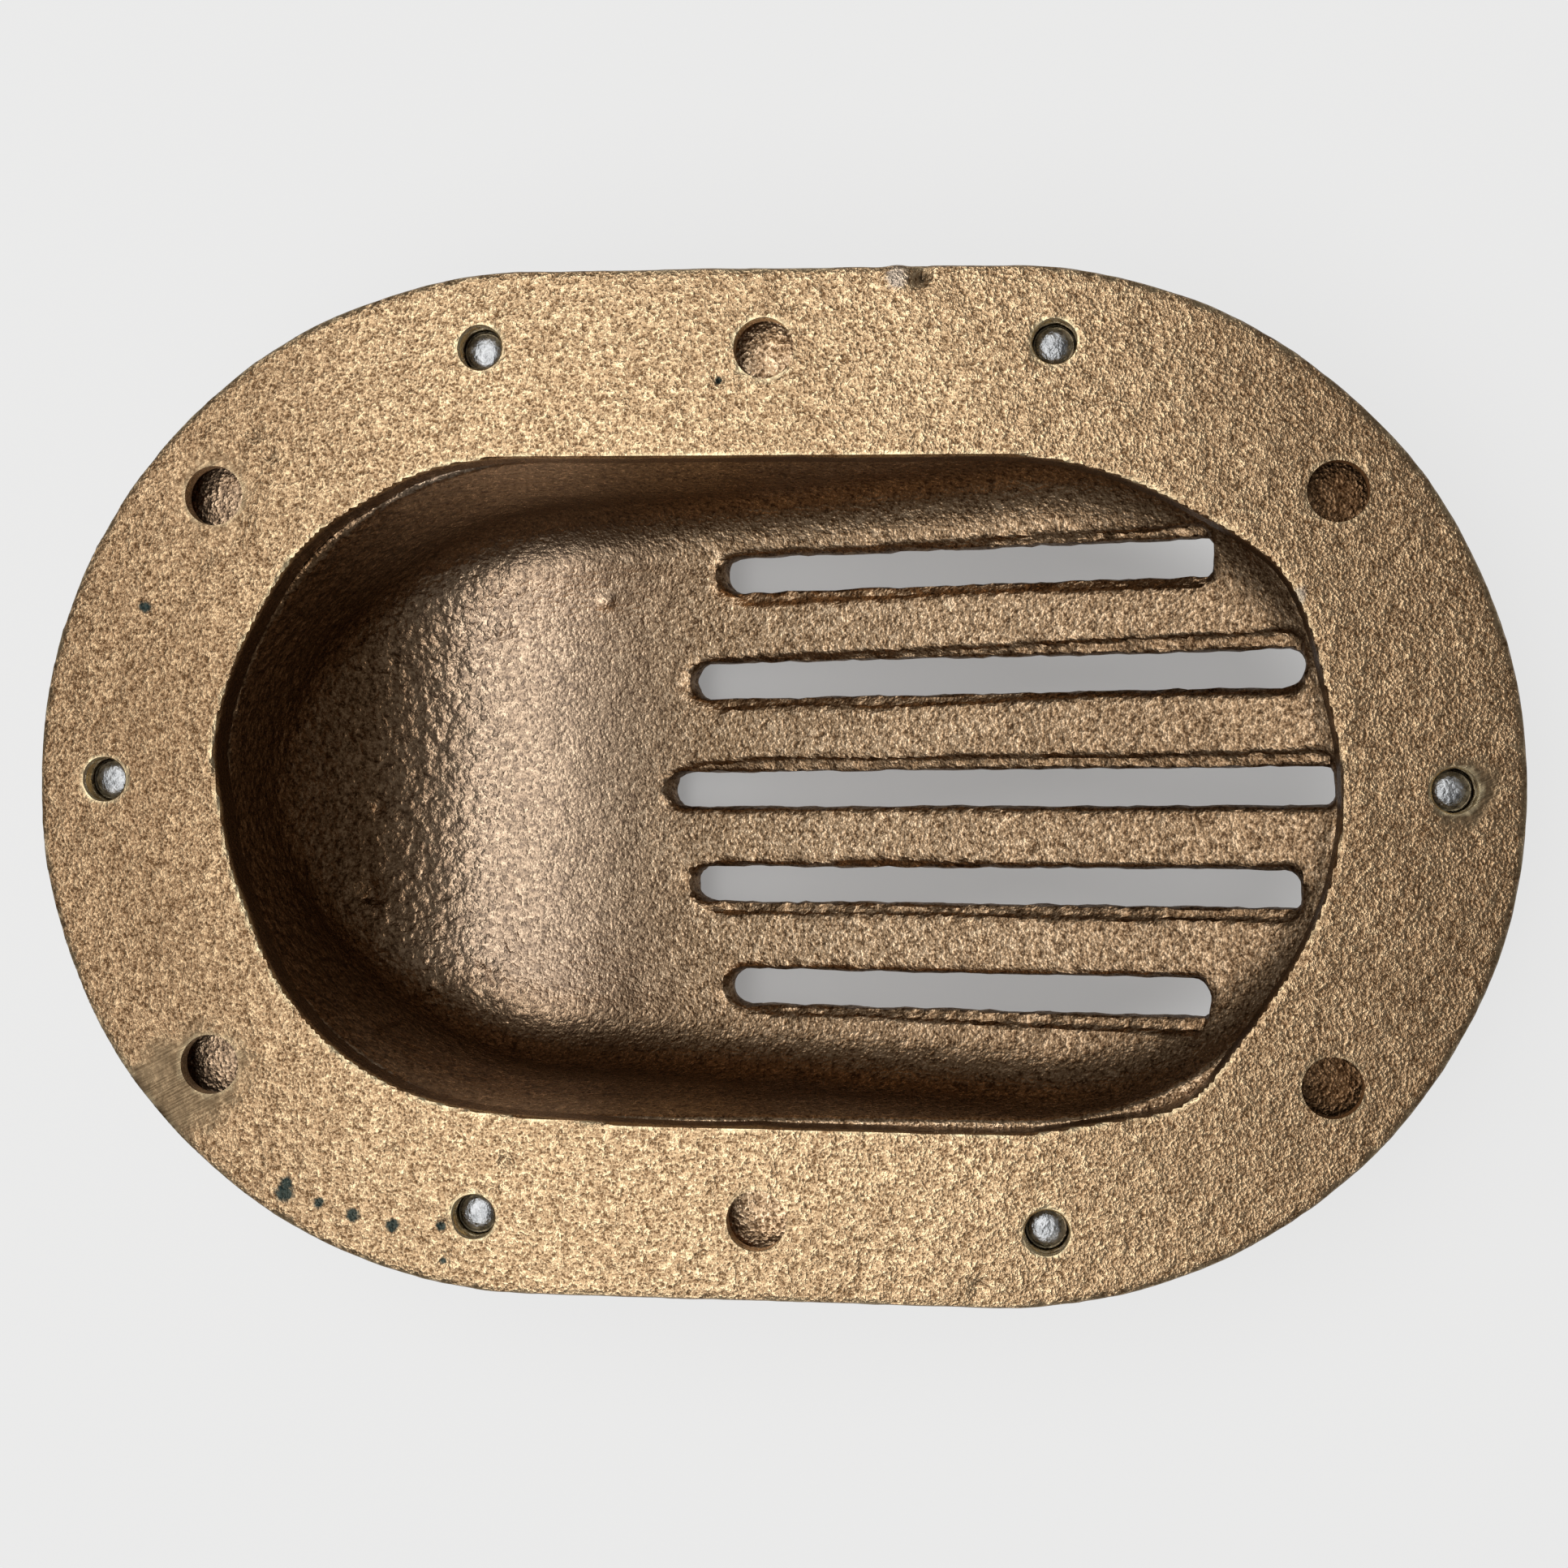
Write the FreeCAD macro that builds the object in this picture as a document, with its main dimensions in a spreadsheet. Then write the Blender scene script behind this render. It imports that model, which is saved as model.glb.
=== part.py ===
import FreeCAD, Part
import math
import os

import Sketcher

# Scoop strainer for a raw-water inlet in a boat's hull: a mounting ring, a slotted scoop and the
# six screws that join them. Millimetres. The ring's hull face lies in z = 0 with the hull above it,
# the dome hangs below, +X points to the shallow end of the ramp and the origin is the middle of the
# ring's hull face.

document = FreeCAD.newDocument("ScoopStrainer")
sheet = document.addObject("Spreadsheet::Sheet", "dims")

# Driving dimensions
DIMENSIONS = {
    # Outline shared by the ring and the scoop's flange
    "flange_length": 178.0,
    "flange_width": 123.0,
    "rim_width": 22.0,
    "ring_thickness": 6.0,
    "scoop_flange_thickness": 4.5,
    "ring_edge_radius": 0.5,
    "scoop_edge_radius": 2.0,
    # Dome of the scoop
    "total_height": 38.0,
    "wall": 3.5,
    "rim_step": 0.4,
    "nose_reach": 3.0,
    "draft_angle": 7.0,
    "ramp_lead": 2.8,
    "floor_length": 25.0,
    "aft_corner_inset": 12.4,
    "aft_slope_angle": 55.0,
    "ramp_blend_radius": 60.0,
    "aft_blend_radius": 28.0,
    "side_blend_radius": 8.0,
    "dome_root_radius": 2.0,
    # Slots in the ramp
    "slot_count": 5,
    "slot_pitch": 13.35,
    "slot_width": 4.6,
    "slot_mouth_width": 6.4,
    "slot_flare_depth": 2.3,
    "slot_corner_radius": 1.2,
    "slot_fore_inset": 0.0,
    "slot_fore_arc": 32.0,
    "slot_aft_inset": 14.8,
    "slot_aft_arc": 46.0,
    # Holes for the hull fasteners
    "hull_hole_diameter": 7.2,
    "hull_sink_diameter": 13.2,
    "hull_corner_angle": 41.1,
    "hull_corner_inset": 8.95,
    "hull_middle_inset": 9.75,
    # Screws between the scoop and the ring, and their holes
    "sink_angle": 82.0,
    "tapped_hole_diameter": 5.2,
    "tapped_mouth_diameter": 6.0,
    "tapped_mouth_angle": 90.0,
    "thread_clearance": 0.05,
    "screw_length": 7.8,
    "screw_head_diameter": 12.0,
    "screw_head_edge": 0.3,
    "screw_tip_chamfer": 0.5,
    "screw_recess_width": 1.3,
    "screw_recess_length": 5.0,
    "screw_recess_depth": 1.8,
    "scoop_hole_diameter": 6.6,
    "seat_clearance": 0.05,
    "screw_side_angle": 82.6,
    "screw_side_inset": 8.9,
    "screw_end_inset": 8.45,
}
for row, (alias, size) in enumerate(DIMENSIONS.items(), start=1):
    sheet.set(f"A{row}", alias)
    sheet.set(f"B{row}", str(size))
    sheet.setAlias(f"B{row}", alias)
document.recompute()

# Expressions that more than one piece uses
FLANGE_RADIUS = "(dims.flange_width / 2)"
END_CENTRE = "(dims.flange_length / 2 - dims.flange_width / 2)"
OPENING_RADIUS = f"({FLANGE_RADIUS} - dims.rim_width)"
OPENING_END = f"({END_CENTRE} + {OPENING_RADIUS})"
CAVITY_RADIUS = f"({OPENING_RADIUS} - dims.rim_step)"
RIM_LEVEL = "(-dims.ring_thickness)"
FLANGE_BACK = "(-dims.ring_thickness - dims.scoop_flange_thickness)"
CAVITY_FLOOR = "(dims.wall - dims.total_height)"
AFT_CORNER = f"(-{OPENING_END} + dims.aft_corner_inset)"
RAMP_TOP = f"({OPENING_END} + dims.ramp_lead)"
RAMP_FOOT = f"({AFT_CORNER} + dims.floor_length)"
RAMP_ANGLE = f"atan(({RIM_LEVEL} - {CAVITY_FLOOR}) / ({RAMP_TOP} - {RAMP_FOOT}))"
SINK_HALF_ANGLE = "(dims.sink_angle / 2)"

# The dome is shaped in a block that starts this far above z = 0 and is then cut off at the rim
BLOCK_TOP = "(dims.flange_width / 6)"
# Cutters reach this far past the flange on every side
BEYOND = "(2 * dims.flange_length)"
# The blends at the two ends of the floor take at most these shares of it
RAMP_BLEND_SHARE = 0.39
AFT_BLEND_SHARE = 0.59

NEAR = 0.02


def number(expression):
    """The value of an expression now, for first guesses and for finding edges."""
    result = sheet.evalExpression(expression)
    return float(getattr(result, "Value", result))


def around_end(radius, angle):
    """A place on a circle about the flange's fore end centre, as a pair of expressions."""
    return f"({END_CENTRE} + {radius} * cos({angle}))", f"({radius} * sin({angle}))"


# Hole places, as expressions in x and y
SCREW_SIDE_RADIUS = f"({FLANGE_RADIUS} - dims.screw_side_inset)"
HULL_CORNER_RADIUS = f"({FLANGE_RADIUS} - dims.hull_corner_inset)"
SCREW_SIDE_X, SCREW_SIDE_Y = around_end(SCREW_SIDE_RADIUS, "dims.screw_side_angle")
HULL_CORNER_X, HULL_CORNER_Y = around_end(HULL_CORNER_RADIUS, "dims.hull_corner_angle")
SCREW_END_X = "(dims.flange_length / 2 - dims.screw_end_inset)"
HULL_MIDDLE_Y = f"({FLANGE_RADIUS} - dims.hull_middle_inset)"
SCREW_PLACES = {
    "machine_screw_fore": (SCREW_END_X, "0"),
    "machine_screw_fore_left": (SCREW_SIDE_X, SCREW_SIDE_Y),
    "machine_screw_aft_left": (f"-{SCREW_SIDE_X}", SCREW_SIDE_Y),
    "machine_screw_aft": (f"-{SCREW_END_X}", "0"),
    "machine_screw_aft_right": (f"-{SCREW_SIDE_X}", f"-{SCREW_SIDE_Y}"),
    "machine_screw_fore_right": (SCREW_SIDE_X, f"-{SCREW_SIDE_Y}"),
}
HULL_PLACES = [
    (HULL_CORNER_X, HULL_CORNER_Y),
    ("0", HULL_MIDDLE_Y),
    (f"-{HULL_CORNER_X}", HULL_CORNER_Y),
    (f"-{HULL_CORNER_X}", f"-{HULL_CORNER_Y}"),
    ("0", f"-{HULL_MIDDLE_Y}"),
    (HULL_CORNER_X, f"-{HULL_CORNER_Y}"),
]


# Sketch helpers
def new_body(label):
    body = document.addObject("PartDesign::Body", label)
    body.Label = label
    return body


def new_sketch(body, name, role="XY_Plane", level=None):
    """A sketch on one of the body's own origin planes, lifted along its normal."""
    sketch = body.newObject("Sketcher::SketchObject", name)
    plane = [feature for feature in body.Origin.OriginFeatures if feature.Role == role][0]
    sketch.AttachmentSupport = [(plane, "")]
    sketch.MapMode = "FlatFace"
    if level is not None:
        sketch.setExpression("AttachmentOffset.Base.z", level)
    return sketch


def constrain(sketch, name, expression, kind, *where):
    """Add a named size to a sketch and tie it to an expression."""
    index = sketch.addConstraint(Sketcher.Constraint(kind, *where, number(expression)))
    sketch.renameConstraint(index, name)
    sketch.setExpression(f"Constraints.{name}", expression)


def constrain_point(sketch, name, geometry, vertex, x_expression, y_expression):
    constrain(sketch, f"{name}_x", x_expression, "DistanceX", -1, 1, geometry, vertex)
    constrain(sketch, f"{name}_y", y_expression, "DistanceY", -1, 1, geometry, vertex)


def arc(x, y, radius, start, end):
    """An arc by its centre, its radius and its two angles in degrees."""
    circle = Part.Circle(FreeCAD.Vector(x, y, 0), FreeCAD.Vector(0, 0, 1), radius)
    return Part.ArcOfCircle(circle, math.radians(start), math.radians(end))


def line(x_start, y_start, x_end, y_end):
    return Part.LineSegment(FreeCAD.Vector(x_start, y_start, 0), FreeCAD.Vector(x_end, y_end, 0))


def draw_polygon(sketch, corners):
    """A closed polygon whose corners are pairs of expressions."""
    first = sketch.GeometryCount
    points = [(number(x), number(y)) for x, y in corners]
    count = len(points)
    for i, start in enumerate(points):
        sketch.addGeometry(line(*start, *points[(i + 1) % count]))
    for i, (x, y) in enumerate(corners):
        following = first + (i + 1) % count
        sketch.addConstraint(Sketcher.Constraint("Coincident", first + i, 2, following, 1))
        constrain_point(sketch, f"corner{first + i}", first + i, 1, x, y)


def draw_stadium(sketch, aft_x, fore_x, radius):
    """Two half circles on the X axis joined by straight sides."""
    aft, fore, reach = number(aft_x), number(fore_x), number(radius)
    first = sketch.GeometryCount
    aft_arc, fore_arc, upper, lower = range(first, first + 4)
    sketch.addGeometry(arc(aft, 0, reach, 90, 270))
    sketch.addGeometry(arc(fore, 0, reach, -90, 90))
    sketch.addGeometry(line(fore, reach, aft, reach))
    sketch.addGeometry(line(aft, -reach, fore, -reach))
    for kind, *where in (
        ("PointOnObject", aft_arc, 3, -1),
        ("PointOnObject", fore_arc, 3, -1),
        ("Tangent", fore_arc, 2, upper, 1),
        ("Tangent", upper, 2, aft_arc, 1),
        ("Tangent", aft_arc, 2, lower, 1),
        ("Tangent", lower, 2, fore_arc, 1),
        ("Equal", aft_arc, fore_arc),
    ):
        sketch.addConstraint(Sketcher.Constraint(kind, *where))
    constrain(sketch, f"radius{first}", radius, "Radius", aft_arc)
    constrain(sketch, f"aft{first}", aft_x, "DistanceX", -1, 1, aft_arc, 3)
    constrain(sketch, f"fore{first}", fore_x, "DistanceX", -1, 1, fore_arc, 3)


def draw_slot(sketch, aft_end, fore_end, y, width, corner_radius):
    """A slot along X: a half circle at its aft end and two small corners at its fore end."""
    half = f"({width} / 2)"
    left, right, mid = number(aft_end), number(fore_end), number(y)
    reach, corner = number(half), number(corner_radius)
    first = sketch.GeometryCount
    aft_arc, lower, low_corner, end, high_corner, upper = range(first, first + 6)
    sketch.addGeometry(arc(left + reach, mid, reach, 90, 270))
    sketch.addGeometry(line(left + reach, mid - reach, right - corner, mid - reach))
    sketch.addGeometry(arc(right - corner, mid - reach + corner, corner, 270, 360))
    sketch.addGeometry(line(right, mid - reach + corner, right, mid + reach - corner))
    sketch.addGeometry(arc(right - corner, mid + reach - corner, corner, 0, 90))
    sketch.addGeometry(line(right - corner, mid + reach, left + reach, mid + reach))
    for kind, *where in (
        ("Tangent", aft_arc, 2, lower, 1),
        ("Tangent", lower, 2, low_corner, 1),
        ("Tangent", low_corner, 2, end, 1),
        ("Tangent", end, 2, high_corner, 1),
        ("Tangent", high_corner, 2, upper, 1),
        ("Tangent", upper, 2, aft_arc, 1),
        ("Horizontal", upper),
        ("Vertical", end),
        ("Equal", low_corner, high_corner),
    ):
        sketch.addConstraint(Sketcher.Constraint(kind, *where))
    constrain(sketch, f"end_radius{first}", half, "Radius", aft_arc)
    constrain(sketch, f"corner_radius{first}", corner_radius, "Radius", low_corner)
    constrain_point(sketch, f"aft{first}", aft_arc, 3, f"{aft_end} + {half}", y)
    constrain(sketch, f"fore{first}", fore_end, "DistanceX", -1, 1, end, 1)


def draw_centres(sketch, places, diameter):
    """One circle for each place, which the hole feature reads."""
    for x, y in places:
        index = sketch.GeometryCount
        centre = FreeCAD.Vector(number(x), number(y), 0)
        sketch.addGeometry(Part.Circle(centre, FreeCAD.Vector(0, 0, 1), number(diameter) / 2))
        constrain(sketch, f"diameter{index}", diameter, "Diameter", index)
        constrain_point(sketch, f"centre{index}", index, 3, x, y)


# Feature helpers
CHOICES = ("Type", "Type2", "SideType", "HoleCutType", "DepthType")


def add_feature(body, kind, name, profile=None, **values):
    """A PartDesign feature; a value that is text is an expression, unless it names a choice."""
    feature = body.newObject(f"PartDesign::{kind}", name)
    if profile is not None:
        feature.Profile = profile
    for prop, value in values.items():
        if isinstance(value, str) and prop not in CHOICES:
            feature.setExpression(prop, value)
        else:
            setattr(feature, prop, value)
    body.Tip = feature
    document.recompute()
    return feature


def round_edges(body, name, radius, test):
    """Fillet the edges of the body's last feature that the test picks."""
    base = body.Tip
    names = [f"Edge{i}" for i, edge in enumerate(base.Shape.Edges, start=1) if test(edge)]
    if not names:
        raise RuntimeError(f"{name}: no edge found")
    feature = body.newObject("PartDesign::Fillet", name)
    feature.Base = (base, names)
    feature.setExpression("Radius", radius)
    body.Tip = feature
    document.recompute()
    return feature


def sample(edge):
    """Points along an edge, ends included."""
    return edge.discretize(5)


def along_y(x, z):
    """A test for the straight edges along Y at one x and z."""
    return lambda edge: all(
        abs(point.x - x) < NEAR and abs(point.z - z) < NEAR for point in sample(edge)
    )


def flat_at(z):
    """A test for the edges that lie in one level."""
    return lambda edge: all(abs(point.z - z) < NEAR for point in sample(edge))


def from_spine(point, aft, fore):
    """Distance in plan from the line between the two end centres."""
    nearest = min(max(point.x, aft), fore)
    return math.hypot(point.x - nearest, point.y)


# The dome and its cavity have one form: a drafted stadium block whose underside follows the aft
# slope, the floor and the ramp, with rounded corners. The skin is how far it stands out of the
# cavity, nothing for the cavity itself and the wall for the dome.
def shape_bowl(body, skin):
    aft_centre = f"(-{END_CENTRE})"
    fore_centre = f"({END_CENTRE} + dims.nose_reach)"
    rim_radius = f"({CAVITY_RADIUS} + {skin})"
    rise = f"({BLOCK_TOP} - {RIM_LEVEL})"
    top_radius = f"({rim_radius} + {rise} * tan(dims.draft_angle))"
    floor = f"(dims.wall - {skin} - dims.total_height)"
    depth = f"({BLOCK_TOP} - {floor})"

    outline = new_sketch(body, f"{body.Name}_outline", level=BLOCK_TOP)
    draw_stadium(outline, aft_centre, fore_centre, top_radius)
    add_feature(
        body, "Pad", f"{body.Name}_block", outline,
        Length=depth, Reversed=True, TaperAngle="-dims.draft_angle",
    )

    # Corners of the underside in the middle plane, each on the skin's offset of the cavity
    ramp_shift = f"({skin} / cos({RAMP_ANGLE}))"
    slope_shift = f"({skin} / cos(dims.aft_slope_angle))"
    ramp_corner_x = f"({RAMP_TOP} + ({floor} + {ramp_shift} - {RIM_LEVEL}) / tan({RAMP_ANGLE}))"
    aft_corner_x = (
        f"({AFT_CORNER} + ({CAVITY_FLOOR} - {floor} - {slope_shift}) / tan(dims.aft_slope_angle))"
    )
    far_fore_x = f"({ramp_corner_x} + {BEYOND})"
    far_fore_z = f"({floor} + {BEYOND} * tan({RAMP_ANGLE}))"
    far_aft_x = f"({aft_corner_x} - {BEYOND})"
    far_aft_z = f"({floor} + {BEYOND} * tan(dims.aft_slope_angle))"
    below = f"({floor} - {BEYOND})"
    underside = new_sketch(body, f"{body.Name}_underside", role="XZ_Plane")
    draw_polygon(underside, [
        (far_aft_x, far_aft_z),
        (aft_corner_x, floor),
        (ramp_corner_x, floor),
        (far_fore_x, far_fore_z),
        (far_fore_x, below),
        (far_aft_x, below),
    ])
    add_feature(
        body, "Pocket", f"{body.Name}_trim", underside,
        SideType="Symmetric", Type="Length", Length=BEYOND,
    )

    widest_ramp_blend = f"{RAMP_BLEND_SHARE} * dims.floor_length / tan({RAMP_ANGLE} / 2)"
    widest_aft_blend = f"{AFT_BLEND_SHARE} * dims.floor_length / tan(dims.aft_slope_angle / 2)"
    round_edges(
        body, f"{body.Name}_ramp_blend",
        f"min(dims.ramp_blend_radius; {widest_ramp_blend}) + {skin}",
        along_y(number(ramp_corner_x), number(floor)),
    )
    round_edges(
        body, f"{body.Name}_aft_blend",
        f"min(dims.aft_blend_radius; {widest_aft_blend}) + {skin}",
        along_y(number(aft_corner_x), number(floor)),
    )

    aft, fore = number(aft_centre), number(fore_centre)
    top, widest, draft = number(BLOCK_TOP), number(top_radius), number("tan(dims.draft_angle)")

    def on_wall(edge):
        points = sample(edge)
        if any(abs(point.z - top) < NEAR for point in points):
            return False
        return all(
            abs(from_spine(point, aft, fore) - (widest - (top - point.z) * draft)) < NEAR
            for point in points
        )

    round_edges(body, f"{body.Name}_side_blend", f"dims.side_blend_radius + {skin}", on_wall)


# Mounting ring
def make_ring():
    ring = new_body("mounting_ring")
    outline = new_sketch(ring, "ring_outline")
    draw_stadium(outline, f"-{END_CENTRE}", END_CENTRE, FLANGE_RADIUS)
    add_feature(ring, "Pad", "ring_plate", outline, Length="dims.ring_thickness", Reversed=True)
    opening = new_sketch(ring, "ring_opening")
    draw_stadium(opening, f"-{END_CENTRE}", END_CENTRE, OPENING_RADIUS)
    add_feature(ring, "Pocket", "ring_window", opening, Length="dims.ring_thickness")
    round_edges(ring, "ring_edge_rounding", "dims.ring_edge_radius", flat_at(0))

    # Clearance holes, sunk from the scoop's side so that the heads lie under its flange
    hull_centres = new_sketch(ring, "hull_centres", level=RIM_LEVEL)
    draw_centres(hull_centres, HULL_PLACES, "dims.hull_hole_diameter")
    add_feature(
        ring, "Hole", "hull_holes", hull_centres,
        Reversed=True, DepthType="ThroughAll", HoleCutType="Countersink", HoleCutCustomValues=True,
        Diameter="dims.hull_hole_diameter", HoleCutDiameter="dims.hull_sink_diameter",
        HoleCutCountersinkAngle="dims.sink_angle",
    )

    # Tapped holes, with a small chamfer at the hull face
    tapped_centres = new_sketch(ring, "tapped_centres")
    draw_centres(tapped_centres, SCREW_PLACES.values(), "dims.tapped_hole_diameter")
    add_feature(
        ring, "Hole", "tapped_holes", tapped_centres,
        DepthType="ThroughAll", HoleCutType="Countersink", HoleCutCustomValues=True,
        Diameter="dims.tapped_hole_diameter", HoleCutDiameter="dims.tapped_mouth_diameter",
        HoleCutCountersinkAngle="dims.tapped_mouth_angle",
    )
    return ring


# Scoop
def cut_slots(scoop):
    """Through slots in the ramp, each with a flared mouth on the inside."""
    along = f"cos({RAMP_ANGLE})"
    fore_end = f"({OPENING_END} - dims.slot_fore_inset)"
    aft_end = f"({RAMP_FOOT} + dims.slot_aft_inset)"
    flare = "((dims.slot_mouth_width - dims.slot_width) / 2)"
    flare_angle = f"-atan({flare} / dims.slot_flare_depth)"
    count = int(number("dims.slot_count"))

    def slot_sketch(name, width, margin):
        sketch = new_sketch(scoop, name)
        sketch.AttachmentOffset = FreeCAD.Placement(
            FreeCAD.Vector(), FreeCAD.Rotation(FreeCAD.Vector(0, -1, 0), 1)
        )
        sketch.setExpression("AttachmentOffset.Base.x", RAMP_TOP)
        sketch.setExpression("AttachmentOffset.Base.z", RIM_LEVEL)
        sketch.setExpression("AttachmentOffset.Rotation.Angle", RAMP_ANGLE)
        for i in range(count):
            y = f"({i - (count - 1) / 2} * dims.slot_pitch)"
            aft = f"({aft_end} + dims.slot_aft_arc - sqrt(dims.slot_aft_arc ^ 2 - {y} ^ 2))"
            fore = f"({fore_end} - dims.slot_fore_arc + sqrt(dims.slot_fore_arc ^ 2 - {y} ^ 2))"
            draw_slot(
                sketch,
                f"(({aft} - {RAMP_TOP}) / {along} - {margin})",
                f"(({fore} - {RAMP_TOP}) / {along} + {margin})",
                y, width, f"(dims.slot_corner_radius + {margin})",
            )
        return sketch

    through = slot_sketch("slot_outlines", "dims.slot_width", "0")
    add_feature(
        scoop, "Pocket", "slots", through,
        SideType="Symmetric", Type="Length", Length="2 * dims.total_height",
    )
    mouths = slot_sketch("slot_mouth_outlines", "dims.slot_mouth_width", flare)
    add_feature(
        scoop, "Pocket", "slot_mouths", mouths,
        SideType="Two sides", Type="Length", Length="dims.slot_flare_depth", TaperAngle=flare_angle,
        Type2="Length", Length2="dims.total_height",
    )


def make_scoop():
    cavity = new_body("scoop_cavity")
    shape_bowl(cavity, "0")

    scoop = new_body("scoop")
    shape_bowl(scoop, "dims.wall")
    above = new_sketch(scoop, "above_rim", level=RIM_LEVEL)
    draw_polygon(above, [
        (f"-{BEYOND}", f"-{BEYOND}"),
        (BEYOND, f"-{BEYOND}"),
        (BEYOND, BEYOND),
        (f"-{BEYOND}", BEYOND),
    ])
    add_feature(scoop, "Pocket", "rim_cut", above, Length=BEYOND, Reversed=True)

    outline = new_sketch(scoop, "scoop_flange_outline", level=RIM_LEVEL)
    draw_stadium(outline, f"-{END_CENTRE}", END_CENTRE, FLANGE_RADIUS)
    add_feature(
        scoop, "Pad", "scoop_flange", outline,
        Length="dims.scoop_flange_thickness", Reversed=True,
    )
    flange_back = flat_at(number(FLANGE_BACK))
    fore_centre = number(END_CENTRE)
    flange_radius = number(FLANGE_RADIUS)

    def outer_edge(edge):
        reach = [from_spine(point, -fore_centre, fore_centre) for point in sample(edge)]
        return flange_back(edge) and min(reach) > flange_radius - NEAR

    def dome_root(edge):
        points = sample(edge)
        ends_before_ramp = max(point.x for point in points) < fore_centre + NEAR
        return flange_back(edge) and ends_before_ramp and not outer_edge(edge)

    round_edges(scoop, "flange_rounding", "dims.scoop_edge_radius", outer_edge)
    round_edges(scoop, "dome_root", "dims.dome_root_radius", dome_root)

    hollow = scoop.newObject("PartDesign::Boolean", "hollow")
    hollow.setObjects([cavity])
    hollow.Type = "Cut"
    scoop.Tip = hollow
    document.recompute()
    cut_slots(scoop)

    # Clearance holes, sunk on the water side for the screw heads
    seat = "(dims.screw_head_edge * tan(dims.sink_angle / 2) + dims.seat_clearance)"
    screw_centres = new_sketch(scoop, "screw_centres", level=FLANGE_BACK)
    draw_centres(screw_centres, SCREW_PLACES.values(), "dims.scoop_hole_diameter")
    add_feature(
        scoop, "Hole", "screw_holes", screw_centres,
        Reversed=True, DepthType="ThroughAll", HoleCutType="Countersink", HoleCutCustomValues=True,
        Diameter="dims.scoop_hole_diameter",
        HoleCutDiameter=f"dims.screw_head_diameter + 2 * {seat}",
        HoleCutCountersinkAngle="dims.sink_angle",
    )
    return scoop


# Machine screw, modelled upwards from the face of its head at its own origin
def make_screw(label, x, y):
    screw = new_body(label)
    head = "(dims.screw_head_diameter / 2)"
    shank = "(dims.tapped_hole_diameter / 2 - dims.thread_clearance)"
    tip = f"({shank} - dims.screw_tip_chamfer)"
    cone_top = f"(dims.screw_head_edge + ({head} - {shank}) / tan({SINK_HALF_ANGLE}))"
    section = new_sketch(screw, f"{label}_section", role="XZ_Plane")
    draw_polygon(section, [
        ("0", "0"),
        (head, "0"),
        (head, "dims.screw_head_edge"),
        (shank, cone_top),
        (shank, "dims.screw_length - dims.screw_tip_chamfer"),
        (tip, "dims.screw_length"),
        ("0", "dims.screw_length"),
    ])
    add_feature(
        screw, "Revolution", f"{label}_turned", section,
        ReferenceAxis=(section, ["V_Axis"]), Angle=360.0,
    )

    # Cross recess in the head
    recess = new_sketch(screw, f"{label}_cross")
    arm = "(dims.screw_recess_width / 2)"
    end = "(dims.screw_recess_length / 2)"
    draw_polygon(recess, [
        (end, f"-{arm}"), (end, arm), (arm, arm), (arm, end),
        (f"-{arm}", end), (f"-{arm}", arm), (f"-{end}", arm), (f"-{end}", f"-{arm}"),
        (f"-{arm}", f"-{arm}"), (f"-{arm}", f"-{end}"), (arm, f"-{end}"), (arm, f"-{arm}"),
    ])
    add_feature(
        screw, "Pocket", f"{label}_recess", recess,
        Length="dims.screw_recess_depth", Reversed=True,
    )
    screw.setExpression("Placement.Base.x", x)
    screw.setExpression("Placement.Base.y", y)
    screw.setExpression("Placement.Base.z", FLANGE_BACK)
    return screw


# Assembly
pieces = [make_ring(), make_scoop()]
for place_label, (place_x, place_y) in SCREW_PLACES.items():
    pieces.append(make_screw(place_label, place_x, place_y))
document.recompute()

for item in document.Objects:
    if "Invalid" in item.State or "Error" in item.State:
        raise RuntimeError(f"{item.Label} failed: {item.State}")
for piece in pieces:
    if piece.Shape.isNull() or not piece.Shape.isValid():
        raise RuntimeError(f"{piece.Label} has no valid shape")

os.makedirs("parts", exist_ok=True)
for piece in pieces:
    piece.Shape.exportStep(f"parts/{piece.Label}.step")
    box = piece.Shape.BoundBox
    print(f"{piece.Label}: {len(piece.Shape.Solids)} solid, {piece.Shape.Volume:.1f} mm3,"
          f" z {box.ZMin:.2f} to {box.ZMax:.2f}")
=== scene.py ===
import math
import random

import bpy
import numpy as np
from mathutils import Matrix, Vector


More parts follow.
